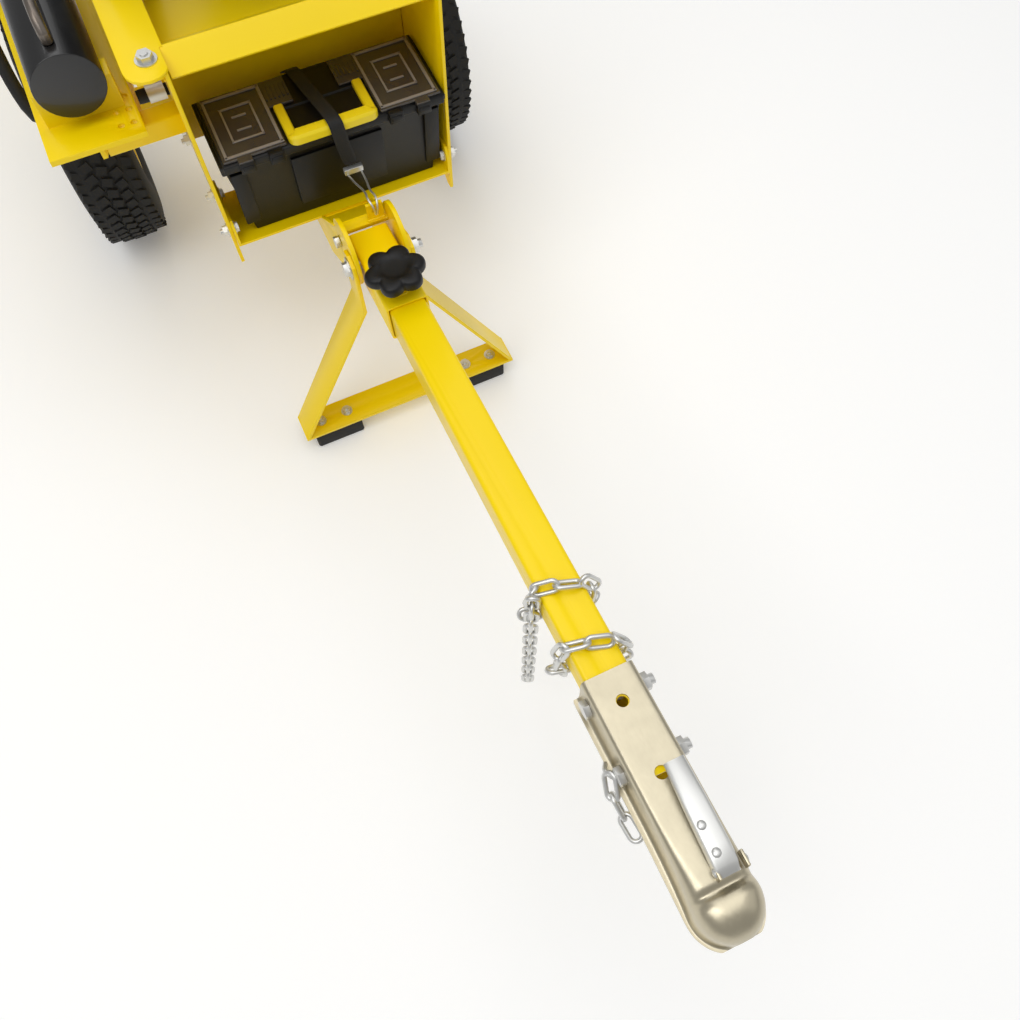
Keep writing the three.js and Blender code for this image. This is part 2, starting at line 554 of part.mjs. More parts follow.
function rim() {
  const seat = 103.5;
  const hub = SPINDLE_R + FIT;
  return turned([[hub, -45], [24, -45], [24, -8], [80, -8], [80, -36], [seat - 3, -40], [seat - 3, -49],
    [112, -49], [112, -45.3], [seat, -45.3], [seat, -36], [84, -30], [84, 30], [seat, 36], [seat, 45.3],
    [112, 45.3], [112, 49], [seat - 3, 49], [seat - 3, 40], [80, 36], [80, -3], [24, -3], [24, 45], [hub, 45]]);
}

// ---------------------------------------------------------------- splitting beam and ram
function beam() {
  const { mid, half, top, bottom, flange, front, back } = BEAM;
  const upper = block(mid - half, mid + half, front, back, top - flange, top);
  const lower = block(mid - half, mid + half, BEAM.keel, back, bottom, bottom + flange);
  const side = [[front + 12, top - 2], [front + 12, top - 30], [BEAM.keel, bottom + 2], [back, bottom + 2], [back, top - 2]];
  const web = prism('x', side, mid - 3, mid + 3);
  const holes = [];
  for (const x of [mid + 34, mid + 50]) {
    for (const y of [838, 862, 886]) holes.push(bar('z', 4.5, top - 12, top + 1, x, y, 12));
  }
  const saddles = [saddle(870, 900), saddle(1345, 1375)];
  return cut(join(upper, lower, web, ...saddles), ...holes);
}

function crossTube(y0, z0) {
  const size = 30;
  const outer = roundedShape(y0, y0 + size, z0, z0 + size, 3);
  outer.holes.push(roundedShape(y0 + 3, y0 + size - 3, z0 + 3, z0 + size - 3, 1));
  return prismOf(outer, 'x', BEAM.mid + 3, -PLATE_OUT);
}

function beamPillar() {
  return block(-257, -222, AXLE.y - 30, AXLE.y + 30, AXLE.z + AXLE_BAR / 2, BEAM.bottom);
}

function saddle(y0, y1) {
  const foot = block(BEAM.mid - 48, BEAM.mid + 48, y0, y1, BEAM.top, BEAM.top + 46);
  return cut(foot, bar('y', CYLINDER.outer + FIT, y0 - 1, y1 + 1, BEAM.mid, CYLINDER.z, 32));
}

function cylinderBarrel() {
  const { z, outer, bore, front, back } = CYLINDER;
  const body = bar('y', outer, front, back, BEAM.mid, z, 32);
  const hollow = bar('y', bore, front + 16, back - 20, BEAM.mid, z, 32);
  const gland = bar('y', ROD_R + FIT, back - 30, back + 1, BEAM.mid, z);
  const port = bar('z', 6, z, z + outer + 1, BEAM.mid, front + 24, 12);
  return cut(body, hollow, gland, port);
}

function pistonRod() {
  const { z, bore, front } = CYLINDER;
  const piston = bar('y', bore - FIT, front + 34, front + 66, BEAM.mid, z, 32);
  return join(piston, bar('y', ROD_R, front + 50, PUSHER_FACE - 25 - FIT, BEAM.mid, z));
}

// The ram's pushing plate, on a shoe that grips the beam's top flange.
function pusher() {
  const { mid, half, top, flange } = BEAM;
  const plate = block(mid - 55, mid + 55, PUSHER_FACE - 25, PUSHER_FACE, top + 4, 700);
  const web = [[PUSHER_FACE - 70, top + 4], [PUSHER_FACE - 24, top + 4], [PUSHER_FACE - 24, 560]];
  const ribs = [-50, 42].map((x) => prism('x', web, mid + x, mid + x + 8));
  const shoe = block(mid - half - 12, mid + half + 12, PUSHER_FACE - 75, PUSHER_FACE, top - 22, top + 10);
  const track = block(mid - half - 0.6, mid + half + 0.6, 1300, 1600, top - flange - 0.6, top + 0.6);
  const slot = block(mid - 42, mid + 42, 1300, 1600, top - 40, top);
  return cut(join(plate, ...ribs, shoe), track, slot);
}

function wedge() {
  const { mid, top } = BEAM;
  const blade = [[mid, WEDGE_EDGE], [mid + 9, WEDGE_EDGE + 30], [mid + 28, WEDGE_EDGE + 90], [mid + 28, 2060],
    [mid - 28, 2060], [mid - 28, WEDGE_EDGE + 90], [mid - 9, WEDGE_EDGE + 30]];
  const foot = block(mid - 55, mid + 55, WEDGE_EDGE + 60, 2066, top, top + 12);
  return join(prism('z', blade, top, top + 200), foot);
}

function logCradle(side) {
  const from = BEAM.half;
  const line = [[from, 423], [from + 24, 423], [from + 24, 545], [from + 92, 592], [from + 100, 584]];
  const sheet = prism('y', bentSheet(line, 4).map(([x, z]) => [x, z]), 1560, 1890);
  const placed = side < 0 ? toGeometry(toManifold(sheet).mirror([1, 0, 0])) : sheet;
  return placed.translate(BEAM.mid, 0, 0);
}

function controlValve() {
  const z0 = CYLINDER.z + CYLINDER.outer + FIT;
  const { mid } = BEAM;
  const body = block(mid - 36, mid + 36, 1180, 1320, z0, z0 + 56);
  const spool = bar('y', 17, 1160, 1340, mid, z0 + 28, 20);
  const ports = [bar('x', 15, mid + 30, mid + 52, 1255, z0 + 28, 6), bar('x', 15, mid - 52, mid - 30, 1205, z0 + 28, 6)];
  const lug = block(mid - 5, mid + 5, 1335, 1366, z0 + 18, z0 + 40);
  return cut(join(body, spool, ...ports, lug), bar('x', 4 + FIT, mid - 20, mid + 20, LEVER.y, LEVER.z, 12));
}

const LEVER = { y: 1358, z: CYLINDER.z + CYLINDER.outer + 29 };

function valveLever() {
  const { mid } = BEAM;
  const fork = [-1, 1].map((side) => {
    const a = mid + side * 5.6;
    const b = mid + side * 10;
    return block(Math.min(a, b), Math.max(a, b), LEVER.y - 9, LEVER.y + 9, LEVER.z - 9, LEVER.z + 24);
  });
  const bridge = block(mid - 10, mid + 10, LEVER.y - 9, LEVER.y + 9, LEVER.z + 17, LEVER.z + 26);
  const pin = bar('x', 4, mid - 10, mid + 10, LEVER.y, LEVER.z, 12);
  const stem = bar('z', 6, LEVER.z + 20, LEVER.z + 190, mid, LEVER.y, 12);
  const ball = new THREE.SphereGeometry(17, 12, 8).translate(mid, LEVER.y, LEVER.z + 195);
  return join(...fork, bridge, pin, stem, ball);
}

const VALVE_PORT = { reach: 52 + FIT, z: CYLINDER.z + CYLINDER.outer + 28 };

function pressureHose() {
  const x = BEAM.mid + VALVE_PORT.reach;
  const { z } = VALVE_PORT;
  return pipe([[-166, SHAFT.y, SHAFT.z + 46], [-166, SHAFT.y, 738], [-166, 1035, 760], [-168, 1120, 765],
    [-170, 1195, 740], [-180, 1240, 690], [x + 16, 1255, z], [x, 1255, z]], 10, 8, 28);
}

// The return hose with the metal end that screws into the tank's side, through the plate.
function returnHose() {
  const x = BEAM.mid - VALVE_PORT.reach;
  const { y, z } = ELBOW;
  const far = BEAM.mid - BEAM.half - 26;
  const ferrule = bar('x', 10, -214, -192, y, z, 16);
  const tail = bar('x', 8.5, -193, -TANK.half - FIT, y, z, 16);
  const hose = pipe([[-210, y, z], [-230, y, z], [far + 36, y + 3, z], [far + 8, y + 8, z + 12], [far, y + 20, z + 45],
    [far, 1120, 540], [far, 1175, 610], [far + 3, 1203, VALVE_PORT.z - 6], [x - 14, 1205, VALVE_PORT.z],
    [x, 1205, VALVE_PORT.z]], 9.5, 8, 28);
  return join(hose, ferrule, tail);
}

function cylinderPipe() {
  const y = CYLINDER.front + 24;
  const top = LEVER.z;
  return pipe([[BEAM.mid, 1159.7, top], [BEAM.mid, 1120, top], [BEAM.mid, y + 50, top], [BEAM.mid, y + 12, top - 3],
    [BEAM.mid, y, top - 14], [BEAM.mid, y, CYLINDER.z + CYLINDER.outer + FIT]], 7, 8, 24);
}

// ---------------------------------------------------------------- engine and pump
function engineBlock() {
  const f = DECK.floor;
  const caseBox = block(-70, 80, 950, 1090, f, 722);
  const head = block(-50, 60, 1089, 1155, 652, 747);
  const fins = [];
  for (let i = 0; i < 6; i += 1) fins.push(block(-58, 68, 1092 + i * 11, 1097 + i * 11, 644, 755));
  const post = block(-40, 50, 960, 1060, 721, FUEL.bottom - FIT);
  const body = join(caseBox, head, ...fins, post);
  return cut(body, bar('x', 13, -80, 90, SHAFT.y, SHAFT.z));
}

// The crankshaft with the flywheel keyed on it.
function crankshaft() {
  return join(bar('x', 12.5, -100, 128, SHAFT.y, SHAFT.z), bar('x', 62, 90, 112, SHAFT.y, SHAFT.z, 28));
}

function engineShroud() {
  const outer = bar('x', 84, 80.3, 150, SHAFT.y, SHAFT.z, 32);
  const foot = block(80.3, 140, 950, 1070, DECK.floor + FIT, SHAFT.z);
  const hollow = bar('x', 76, 79, 142, SHAFT.y, SHAFT.z, 32);
  const vents = [];
  for (let i = 0; i < 8; i += 1) {
    const a = (i / 8) * 2 * Math.PI;
    vents.push(bar('x', 9, 140, 152, SHAFT.y + 48 * Math.cos(a), SHAFT.z + 48 * Math.sin(a), 10));
  }
  return cut(join(outer, foot), hollow, ...vents);
}

function recoilHandle() {
  const grip = bar('x', 8, 118, 172, 906, SHAFT.z, 12);
  return join(grip, bar('y', 3, 906, 925.7, 145, SHAFT.z, 8));
}

function fuelTank() {
  const shell = (inset, z0, depth) => {
    const outline = roundedShape(-112 + inset, 132 - inset, 918 + inset, 1086 - inset, 28 - inset);
    return prismOf(outline, 'z', z0, z0 + depth);
  };
  const neck = bar('z', 22, FUEL.top - 1, FUEL.top + 6, FUEL.capX, FUEL.capY, 20);
  const mouth = bar('z', 19, FUEL.top - 10, FUEL.top + 7, FUEL.capX, FUEL.capY, 20);
  const height = FUEL.top - FUEL.bottom;
  return cut(join(shell(0, FUEL.bottom, height), neck), shell(3, FUEL.bottom + 3, height - 6), mouth);
}

function fuelCap() {
  const z = FUEL.top + 6 + FIT;
  return join(bar('z', 25, z, z + 16, FUEL.capX, FUEL.capY), bar('z', 18, z - 12, z + 1, FUEL.capX, FUEL.capY));
}

function bell() {
  const shell = bar('x', 46, -128, -70.3, SHAFT.y, SHAFT.z, 32);
  const window = block(-115, -90, SHAFT.y - 20, SHAFT.y + 20, SHAFT.z + 20, SHAFT.z + 60);
  return cut(shell, bar('x', 38, -120, -70, SHAFT.y, SHAFT.z, 32), window,
    bar('x', 9, -129, -119, SHAFT.y, SHAFT.z, 16));
}

function driveCoupling() {
  const jaw = cut(bar('x', 25, -114, -80, SHAFT.y, SHAFT.z, 20), bar('x', 12.8, -100.5, -70, SHAFT.y, SHAFT.z));
  return join(jaw, bar('x', 8, -127, -110, SHAFT.y, SHAFT.z, 16));
}

// The gear pump with its outlet union and its inlet pipe, which comes up from the tank.
function hydraulicPump() {
  const body = block(-200, -128.3, SHAFT.y - 38, SHAFT.y + 38, SHAFT.z - 45, SHAFT.z + 45);
  const inlet = bar('z', 11, DECK.floor + FIT, SHAFT.z - 40, -146, SHAFT.y, 16);
  return join(body, bar('z', 14, SHAFT.z + 40, SHAFT.z + 45.7, -166, SHAFT.y, 6), inlet);
}

function muffler() {
  const box = block(-66, 76, 1156, 1226, 662, 744);
  return join(box, bar('y', 9, 1220, 1250, 50, 722, 12));
}

function airCleaner() {
  return block(-78, 42, 888, 949.7, 684, 760);
}

function returnFilter() {
  const y = TANK.back + FIT;
  return join(bar('y', 38, y + 12, y + 100, 40, 490, 28), bar('y', 24, y, y + 14, 40, 490, 20));
}

// ---------------------------------------------------------------- assembly
const machine = new THREE.Group();

function add(parent, name, geometry, material) {
  const mesh = new THREE.Mesh(geometry, material.clone());
  mesh.name = name;
  parent.add(mesh);
  return mesh;
}

const tongue = new THREE.Group();
tongue.position.set(0, PIVOT.y, PIVOT.z);
tongue.rotation.x = -TONGUE_PITCH;
machine.add(tongue);
add(tongue, 'tow_tube', towTube(), paint);
add(tongue, 'coupler', coupler(), passivated);
add(tongue, 'coupler_latch', couplerLatch(), zinc);
COUPLER_BOLTS.forEach((y, i) => {
  const side = COUPLER_HALF + FIT;
  const bolt = crossBolt(6, -side - 7, -side, side, side + 9, side + 15, y, BOLT_LINE);
  add(tongue, ['coupler_bolt_rear', 'coupler_bolt_front'][i], bolt, zinc);
});
add(tongue, 'safety_chain', safetyChain(), zinc);
add(tongue, 'tongue_sleeve', sleeve(), paint);
add(tongue, 'clamp_knob', clampKnob(), blackPlastic);

const stand = new THREE.Group();
stand.position.set(0, PIVOT.y, PIVOT.z);
machine.add(stand);
add(stand, 'stand_frame', standFrame(), paint);
add(stand, 'stand_foot_left', standFoot(-1), rubber);
add(stand, 'stand_foot_right', standFoot(1), rubber);

const pivotBolt = crossBolt(PIVOT_BOLT_R, -LEG_OUT - 8, -LEG_OUT - FIT, LEG_OUT + FIT, LEG_OUT + 10, LEG_OUT + 16, 0, 0);
add(machine, 'pivot_bolt', pivotBolt, zinc).position.set(0, PIVOT.y, PIVOT.z);
add(machine, 'yoke', yoke(), paint);
add(machine, 'fold_lock_bolt', foldLockBolt(), zinc);

add(machine, 'side_plate_left', sidePlate(-1), paint);
add(machine, 'side_plate_right', sidePlate(1), paint);
add(machine, 'tool_tray', toolTray(), paint);
add(machine, 'hydraulic_tank', hydraulicTank(), paint);
add(machine, 'tank_cap', tankCap(), blackPlastic);
add(machine, 'deck', deck(), paint);

add(machine, 'toolbox_body', toolboxBody(), blackPlastic);
add(machine, 'toolbox_lid', toolboxLid(), blackPlastic);
add(machine, 'organizer_lid_left', organizerLid(-1), smoke);
add(machine, 'organizer_lid_right', organizerLid(1), smoke);
add(machine, 'toolbox_handle', toolboxHandle(), yellowPlastic);
add(machine, 'toolbox_strap', toolboxStrap(), rubber);
add(machine, 'strap_clip', strapClip(), zinc);
add(machine, 'wire_hook', wireHook(), zinc);

add(machine, 'axle', axle(), paint);
for (const [word, x] of [['left', WHEEL_LEFT], ['right', WHEEL_RIGHT]]) {
  const wheel = new THREE.Group();
  wheel.position.set(x, AXLE.y, AXLE.z);
  wheel.rotation.z = x < 0 ? Math.PI : 0;
  machine.add(wheel);
  add(wheel, `tyre_${word}`, tyre(), rubber);
  add(wheel, `wheel_rim_${word}`, rim(), paint);
}

add(machine, 'beam', beam(), paint);
add(machine, 'cross_tube_front', crossTube(862, 475), paint);
add(machine, 'cross_tube_rear', crossTube(1120, 428), paint);
add(machine, 'beam_pillar', beamPillar(), paint);
add(machine, 'cylinder_barrel', cylinderBarrel(), blackPaint);
add(machine, 'piston_rod', pistonRod(), chrome);
add(machine, 'ram_pusher', pusher(), blackPaint);
add(machine, 'wedge', wedge(), blackPaint);
add(machine, 'log_cradle_left', logCradle(-1), paint);
add(machine, 'log_cradle_right', logCradle(1), paint);
add(machine, 'control_valve', controlValve(), castAlloy);
add(machine, 'valve_lever', valveLever(), blackPlastic);
add(machine, 'pressure_hose', pressureHose(), rubber);
add(machine, 'return_hose', returnHose(), rubber);
add(machine, 'cylinder_pipe', cylinderPipe(), steel);

add(machine, 'engine_block', engineBlock(), castAlloy);
add(machine, 'crankshaft', crankshaft(), steel);
add(machine, 'engine_shroud', engineShroud(), blackPlastic);
add(machine, 'recoil_handle', recoilHandle(), blackPlastic);
add(machine, 'fuel_tank', fuelTank(), blackPaint);
add(machine, 'fuel_cap', fuelCap(), blackPlastic);
add(machine, 'pump_bell', bell(), castAlloy);
add(machine, 'drive_coupling', driveCoupling(), steel);
add(machine, 'hydraulic_pump', hydraulicPump(), castAlloy);
add(machine, 'muffler', muffler(), steel);
add(machine, 'air_cleaner', airCleaner(), blackPlastic);
add(machine, 'return_filter', returnFilter(), blackPaint);

// The row's origin is on the ground, under the middle of the whole machine's box.
const bounds = new THREE.Box3().setFromObject(machine);
const middle = bounds.getCenter(new THREE.Vector3());
machine.position.set(-middle.x, -middle.y, -bounds.min.z);

export default machine;
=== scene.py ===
import json
import math

import bmesh
import bpy
from bpy.props import FloatProperty, FloatVectorProperty, IntProperty, PointerProperty
from mathutils import Matrix, Vector


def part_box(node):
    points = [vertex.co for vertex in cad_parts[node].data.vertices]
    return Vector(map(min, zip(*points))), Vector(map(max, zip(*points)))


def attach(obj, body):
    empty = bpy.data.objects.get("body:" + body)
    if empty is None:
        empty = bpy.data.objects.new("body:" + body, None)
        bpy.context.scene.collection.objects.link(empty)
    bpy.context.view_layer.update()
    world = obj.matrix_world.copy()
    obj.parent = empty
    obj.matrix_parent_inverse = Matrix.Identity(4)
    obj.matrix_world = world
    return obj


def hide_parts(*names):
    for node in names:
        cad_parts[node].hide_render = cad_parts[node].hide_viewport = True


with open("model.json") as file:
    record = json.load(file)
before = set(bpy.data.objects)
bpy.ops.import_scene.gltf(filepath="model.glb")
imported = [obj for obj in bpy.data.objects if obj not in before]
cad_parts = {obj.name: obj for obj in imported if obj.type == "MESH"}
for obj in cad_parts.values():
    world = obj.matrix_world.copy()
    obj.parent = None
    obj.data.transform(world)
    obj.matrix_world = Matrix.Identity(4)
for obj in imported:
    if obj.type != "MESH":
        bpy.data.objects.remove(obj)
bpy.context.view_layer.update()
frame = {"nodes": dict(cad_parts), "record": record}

bl_info = {
    "name": "Log Splitter",
    "version": (1, 0, 0),
    "blender": (4, 5, 0),
    "location": "View3D > Sidebar > Log Splitter",
    "description": "Finishes the towable log splitter round its CAD frame",
    "category": "Object",
}

MM = 0.001
TONGUE_PITCH = 0.1
FOLD_BOLT = (0.0, 647.0, 375.0)
YOKE_BACK = 949.7
YOKE_LOW, YOKE_HIGH = (Vector(corner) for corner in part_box("yoke"))
DESIGN_ORIGIN = Vector(((YOKE_LOW.x + YOKE_HIGH.x) / 2, YOKE_HIGH.y - YOKE_BACK * MM, 0.0))
COUPLER_BACK = -654.0       # from here on, places on the tow bar run from the fold bolt along the tube
KNOB_ALONG = -74.0
LATCH_MIDDLE = 13.0
LATCH_PIN = COUPLER_BACK - 212
BOX_MIDDLE = 6.0            # the toolbox stands a little to the right of the machine's middle
LID_LOW = 470.3             # the toolbox lid's top, where its clear lids and its handle lie
AXLE_LINE = (1277, 203)
WHEEL_MIDDLES = {"left": -318, "right": 270}
SHAFT_LINE = (1010, 672)    # the engine's crankshaft
BEAM_MIDDLE = -277


def at(x, y, z):
    """A place in metres, from millimetres across, behind and above the design's own origin."""
    return DESIGN_ORIGIN + Vector((x, y, z)) * MM


TONGUE_FRAME = Matrix.Translation(at(*FOLD_BOLT)) @ Matrix.Rotation(-TONGUE_PITCH, 4, "X")


def on_tongue(x, y, z):
    """A place in metres, from millimetres across, along and square to the tow tube."""
    return TONGUE_FRAME @ (Vector((x, y, z)) * MM)


def srgb(code):
    """A six-digit sRGB hex colour as linear red, green and blue."""
    parts = [int(code[i:i + 2], 16) / 255 for i in (0, 2, 4)]
    return tuple(c / 12.92 if c <= 0.04045 else ((c + 0.055) / 1.055) ** 2.4 for c in parts)


def colour(name, description, code):
    return FloatVectorProperty(name=name, description=description, subtype="COLOR", size=3,
                               min=0, max=1, default=srgb(code))


def length(name, description, millimetres):
    return FloatProperty(name=name, description=description, subtype="DISTANCE", unit="LENGTH", min=0,
                         default=millimetres * MM)


class SplitterSizes(bpy.types.PropertyGroup):
    """Sizes of the details that are added to the frame."""
    sheet_edge: length("Sheet edge", "Rounding along the edges of painted sheet and tube", 1.2)
    moulded_edge: length("Moulded edge", "Rounding along the edges of moulded plastic", 2.0)
    chain_wire: length("Chain wire", "Thickness of the safety chain's wire", 5.5)
    chain_pitch: length("Chain pitch", "Distance from one chain link to the next", 24)
    tread_depth: length("Tread depth", "Depth of the grooves between the tyre's blocks", 4.5)
    tread_blocks: IntProperty(name="Tread blocks", description="Blocks round one row", min=12, default=60)
    knob_lobes: IntProperty(name="Knob lobes", description="Lobes round the clamp knob", min=3, default=6)


class SplitterColours(bpy.types.PropertyGroup):
    """Colours of the main finishes."""
    paint: colour("Paint", "Gloss powder coat of the steel frame", "FFDA00")
    zinc: colour("Zinc", "Bright zinc of the bolts, chain and latch", "8C8C88")
    passivated: colour("Passivated zinc", "Warm zinc of the ball coupler", "C4BBA3")
    plastic: colour("Black plastic", "Moulded black plastic", "0B0B0C")
    smoke: colour("Smoked plastic", "Clear brown plastic of the small-parts lids", "4A443F")
    handle: colour("Yellow plastic", "Moulded yellow handle", "F2D818")
    rubber: colour("Rubber", "Black rubber of the tyres, feet and strap", "121212")
    floor: colour("Floor", "Studio floor", "F6F6F5")


# ---------------------------------------------------------------- nodes and materials
def add_node(tree, kind, inputs=None, **settings):
    """Adds a node, with its settings, and its inputs as constants or as links from other sockets."""
    node = tree.nodes.new(kind)
    for name, value in settings.items():
        setattr(node, name, value)
    for name, value in (inputs or {}).items():
        shown = [s for s in node.inputs if s.name == name and s.enabled]
        socket = shown[0] if shown else node.inputs[name]
        if isinstance(value, bpy.types.NodeSocket):
            tree.links.new(value, socket)
        else:
            socket.default_value = value
    return node


def shade(base, factor):
    return tuple(min(1.0, c * factor) for c in base[:3]) + (1.0,)


def surface(name, base, roughness, metallic=0.0, patch_mm=60, contrast=0.08, spread=0.08, grain_mm=2.0,
            relief_mm=0.05, stretch=(1, 1, 1), dust=None, **sockets):
    """A material whose colour drifts in patches, whose roughness varies, and whose grain stands in relief."""
    if name in bpy.data.materials:
        return bpy.data.materials[name]
    material = bpy.data.materials.new(name)
    material.use_nodes = True
    tree = material.node_tree
    tree.nodes.clear()
    place = add_node(tree, "ShaderNodeTexCoord").outputs["Object"]
    run = add_node(tree, "ShaderNodeMapping", {"Vector": place, "Scale": stretch}).outputs["Vector"]
    patches = add_node(tree, "ShaderNodeTexNoise", {"Vector": place, "Scale": 1 / (patch_mm * MM), "Detail": 5.0})
    grain = add_node(tree, "ShaderNodeTexNoise", {"Vector": run, "Scale": 1 / (grain_mm * MM), "Detail": 3.0})
    tint = add_node(tree, "ShaderNodeMix", data_type="RGBA")
    tree.links.new(patches.outputs["Fac"], tint.inputs["Factor"])
    tint.inputs[6].default_value = shade(base, 1 - contrast)
    tint.inputs[7].default_value = shade(dust or base, 1 + contrast)
    sheen = add_node(tree, "ShaderNodeMapRange", {
        "Value": grain.outputs["Fac"], "To Min": max(roughness - spread, 0.03), "To Max": roughness + spread})
    relief = add_node(tree, "ShaderNodeBump", {
        "Height": grain.outputs["Fac"], "Distance": relief_mm * MM, "Strength": 0.6})
    body = add_node(tree, "ShaderNodeBsdfPrincipled", {
        "Base Color": tint.outputs[2], "Roughness": sheen.outputs["Result"], "Normal": relief.outputs["Normal"],
        "Metallic": metallic, **{key.replace("_", " "): value for key, value in sockets.items()}})
    add_node(tree, "ShaderNodeOutputMaterial", {"Surface": body.outputs["BSDF"]})
    return material


def finishes():
    """Every finish on the machine, by a short name."""
    tones = bpy.context.scene.splitter_colours
    return {
        # Powder coat, sprayed and baked: a glossy skin with a faint orange peel and slow drifts of tone.
        "paint": surface("powder_coat_yellow", tones.paint, 0.34, 0.0, 150, 0.05, 0.06, 2.5, 0.06,
                         Specular_IOR_Level=0.25, Coat_Weight=0.12, Coat_Roughness=0.15),
        # Zinc electroplate: bright grey metal, a little cloudy.
        "zinc": surface("zinc_plate", tones.zinc, 0.3, 0.95, 14, 0.14, 0.12, 1.6, 0.03),
        # Yellow passivated zinc on pressed sheet: warm, with handling marks and drawn streaks.
        "passivated": surface("passivated_zinc_sheet", tones.passivated, 0.34, 0.9, 26, 0.12, 0.12, 1.8, 0.05,
                              (1, 0.25, 1)),
        # Moulded polypropylene: matt black with a spark-eroded grain.
        "plastic": surface("polypropylene_black", tones.plastic, 0.46, 0.0, 50, 0.15, 0.08, 1.2, 0.08,
                           Specular_IOR_Level=0.35),
        # Clear polystyrene tinted brown: the pockets below show dimly.
        "smoke": surface("polystyrene_smoked", tones.smoke, 0.16, 0.0, 40, 0.08, 0.05, 3.0, 0.02,
                         Transmission_Weight=0.25, IOR=1.58),
        # Raised lines of the clear lids: the same polystyrene painted paler, a painted highlight for the light they
        # catch.
        "lines": surface("polystyrene_painted_highlight", srgb("8C847C"), 0.2, 0.0, 40, 0.08, 0.05, 3.0, 0.02, IOR=1.58),
        # Moulded yellow handle: satin, clean.
        "handle": surface("polypropylene_yellow", tones.handle, 0.38, 0.0, 40, 0.04, 0.06, 1.5, 0.03),
        # Vulcanised rubber: dull black, a little dusty in places.
        "rubber": surface("vulcanised_rubber", tones.rubber, 0.72, 0.0, 35, 0.22, 0.12, 1.4, 0.12),
        # Tyre rubber: as the rubber, with mould texture and dust.
        "tyre": surface("tyre_rubber", shade(tones.rubber, 1.1), 0.78, 0.0, 45, 0.3, 0.1, 1.8, 0.2),
        # Enamel over mill scale: semi-gloss black.
        "enamel": surface("enamel_black", srgb("161617"), 0.32, 0.0, 60, 0.15, 0.08, 2.0, 0.06, Coat_Weight=0.3),
        # Die-cast aluminium: satin grey with a sandy skin.
        "cast": surface("die_cast_aluminium", srgb("8E9195"), 0.5, 0.85, 30, 0.12, 0.1, 1.2, 0.14),
        # Hard chrome on a ground rod: mirror-like, with hair-fine rings.
        "chrome": surface("hard_chrome", srgb("DCDEE0"), 0.08, 1.0, 60, 0.03, 0.03, 1.0, 0.01, (1, 6, 1)),
        # Bare mild steel: grey, rubbed, faintly brown in patches.
        "steel": surface("mild_steel", srgb("7A7876"), 0.4, 0.9, 25, 0.16, 0.12, 1.4, 0.05, dust=srgb("7A6C5E")),
    }


# ---------------------------------------------------------------- making pieces
def body_of(node):
    for name, members in frame["record"]["behaviour"]["bodies"].items():
        if node in members:
            return name
    raise ValueError(f"{node} is in no body")


def linked(name, data):
    """A new object in the scene, untransformed, with this data."""
    obj = bpy.data.objects.new(name, data)
    bpy.context.scene.collection.objects.link(obj)
    return obj


def piece(name, mesh, finish, body, replaced=(), smooth_angle=35):
    """Links a mesh as a finished piece: its finish, its smooth faces, its body and what it stands for."""
    obj = linked(name, mesh)
    mesh.materials.clear()
    mesh.materials.append(finishes()[finish])
    mesh.polygons.foreach_set("material_index", [0] * len(mesh.polygons))
    mesh.polygons.foreach_set("use_smooth", [True] * len(mesh.polygons))
    mesh.set_sharp_from_angle(angle=math.radians(smooth_angle))
    mesh.update()
    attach(obj, body)
    if replaced:
        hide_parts(*replaced)
    return obj


def settle(obj, name):
    """The object's evaluated shape as a mesh of its own; the object itself is removed."""
    graph = bpy.context.evaluated_depsgraph_get()
    mesh = bpy.data.meshes.new_from_object(obj.evaluated_get(graph), depsgraph=graph)
    mesh.name = name
    bpy.data.objects.remove(obj)
    return mesh


def softened(node, finish, edge, angle=32):
    """The CAD node with its seams merged and its edges rounded."""
    mesh = frame["nodes"][node].data.copy()
    bm = bmesh.new()
    bm.from_mesh(mesh)
    bmesh.ops.remove_doubles(bm, verts=bm.verts, dist=0.01 * MM)
    bmesh.ops.dissolve_limit(bm, angle_limit=math.radians(0.5), verts=bm.verts, edges=bm.edges)
    for face in bm.faces:
        face.smooth = True
    bm.to_mesh(mesh)
    bm.free()
    obj = linked(node + "_shape", mesh)
    bevel = obj.modifiers.new("edge", "BEVEL")
    bevel.harden_normals = True
    bevel.width = edge
    bevel.segments = 2
    bevel.limit_method = "ANGLE"
    bevel.angle_limit = math.radians(angle)
    bevel.use_clamp_overlap = True
    return piece(node + "_finished", settle(obj, node + "_finished"), finish, body_of(node), [node], 50)


def from_bmesh(name, bm, *modifiers):
    """A mesh from a bmesh, with its normals made to point out and any modifiers applied."""
    bmesh.ops.remove_doubles(bm, verts=bm.verts, dist=0.005 * MM)
    bmesh.ops.recalc_face_normals(bm, faces=bm.faces)
    mesh = bpy.data.meshes.new(name)
    bm.to_mesh(mesh)
    bm.free()
    obj = linked(name + "_shape", mesh)
    for kind, settings in modifiers:
        modifier = obj.modifiers.new(kind.lower(), kind)
        for key, value in settings.items():
            setattr(modifier, key, value)
    return settle(obj, name)


def moulded(name, bm, finish, body, *modifiers, replaced=(), smooth_angle=35):
    """A finished piece straight from a bmesh."""
    return piece(name, from_bmesh(name, bm, *modifiers), finish, body, replaced, smooth_angle)


def bevelled(width, segments=2, angle=30):
    return "BEVEL", {"width": width, "segments": segments, "limit_method": "ANGLE",
                     "angle_limit": math.radians(angle)}


def subdivided(levels):
    return "SUBSURF", {"levels": levels, "render_levels": levels}


def close_block(bm, places):
    """Adds a closed block round eight places: four round its foot, then four round its top."""
    corners = [bm.verts.new(place) for place in places]
    for ring in ((3, 2, 1, 0), (4, 5, 6, 7), (0, 1, 5, 4), (1, 2, 6, 5), (2, 3, 7, 6), (3, 0, 4, 7)):
        bm.faces.new([corners[i] for i in ring])


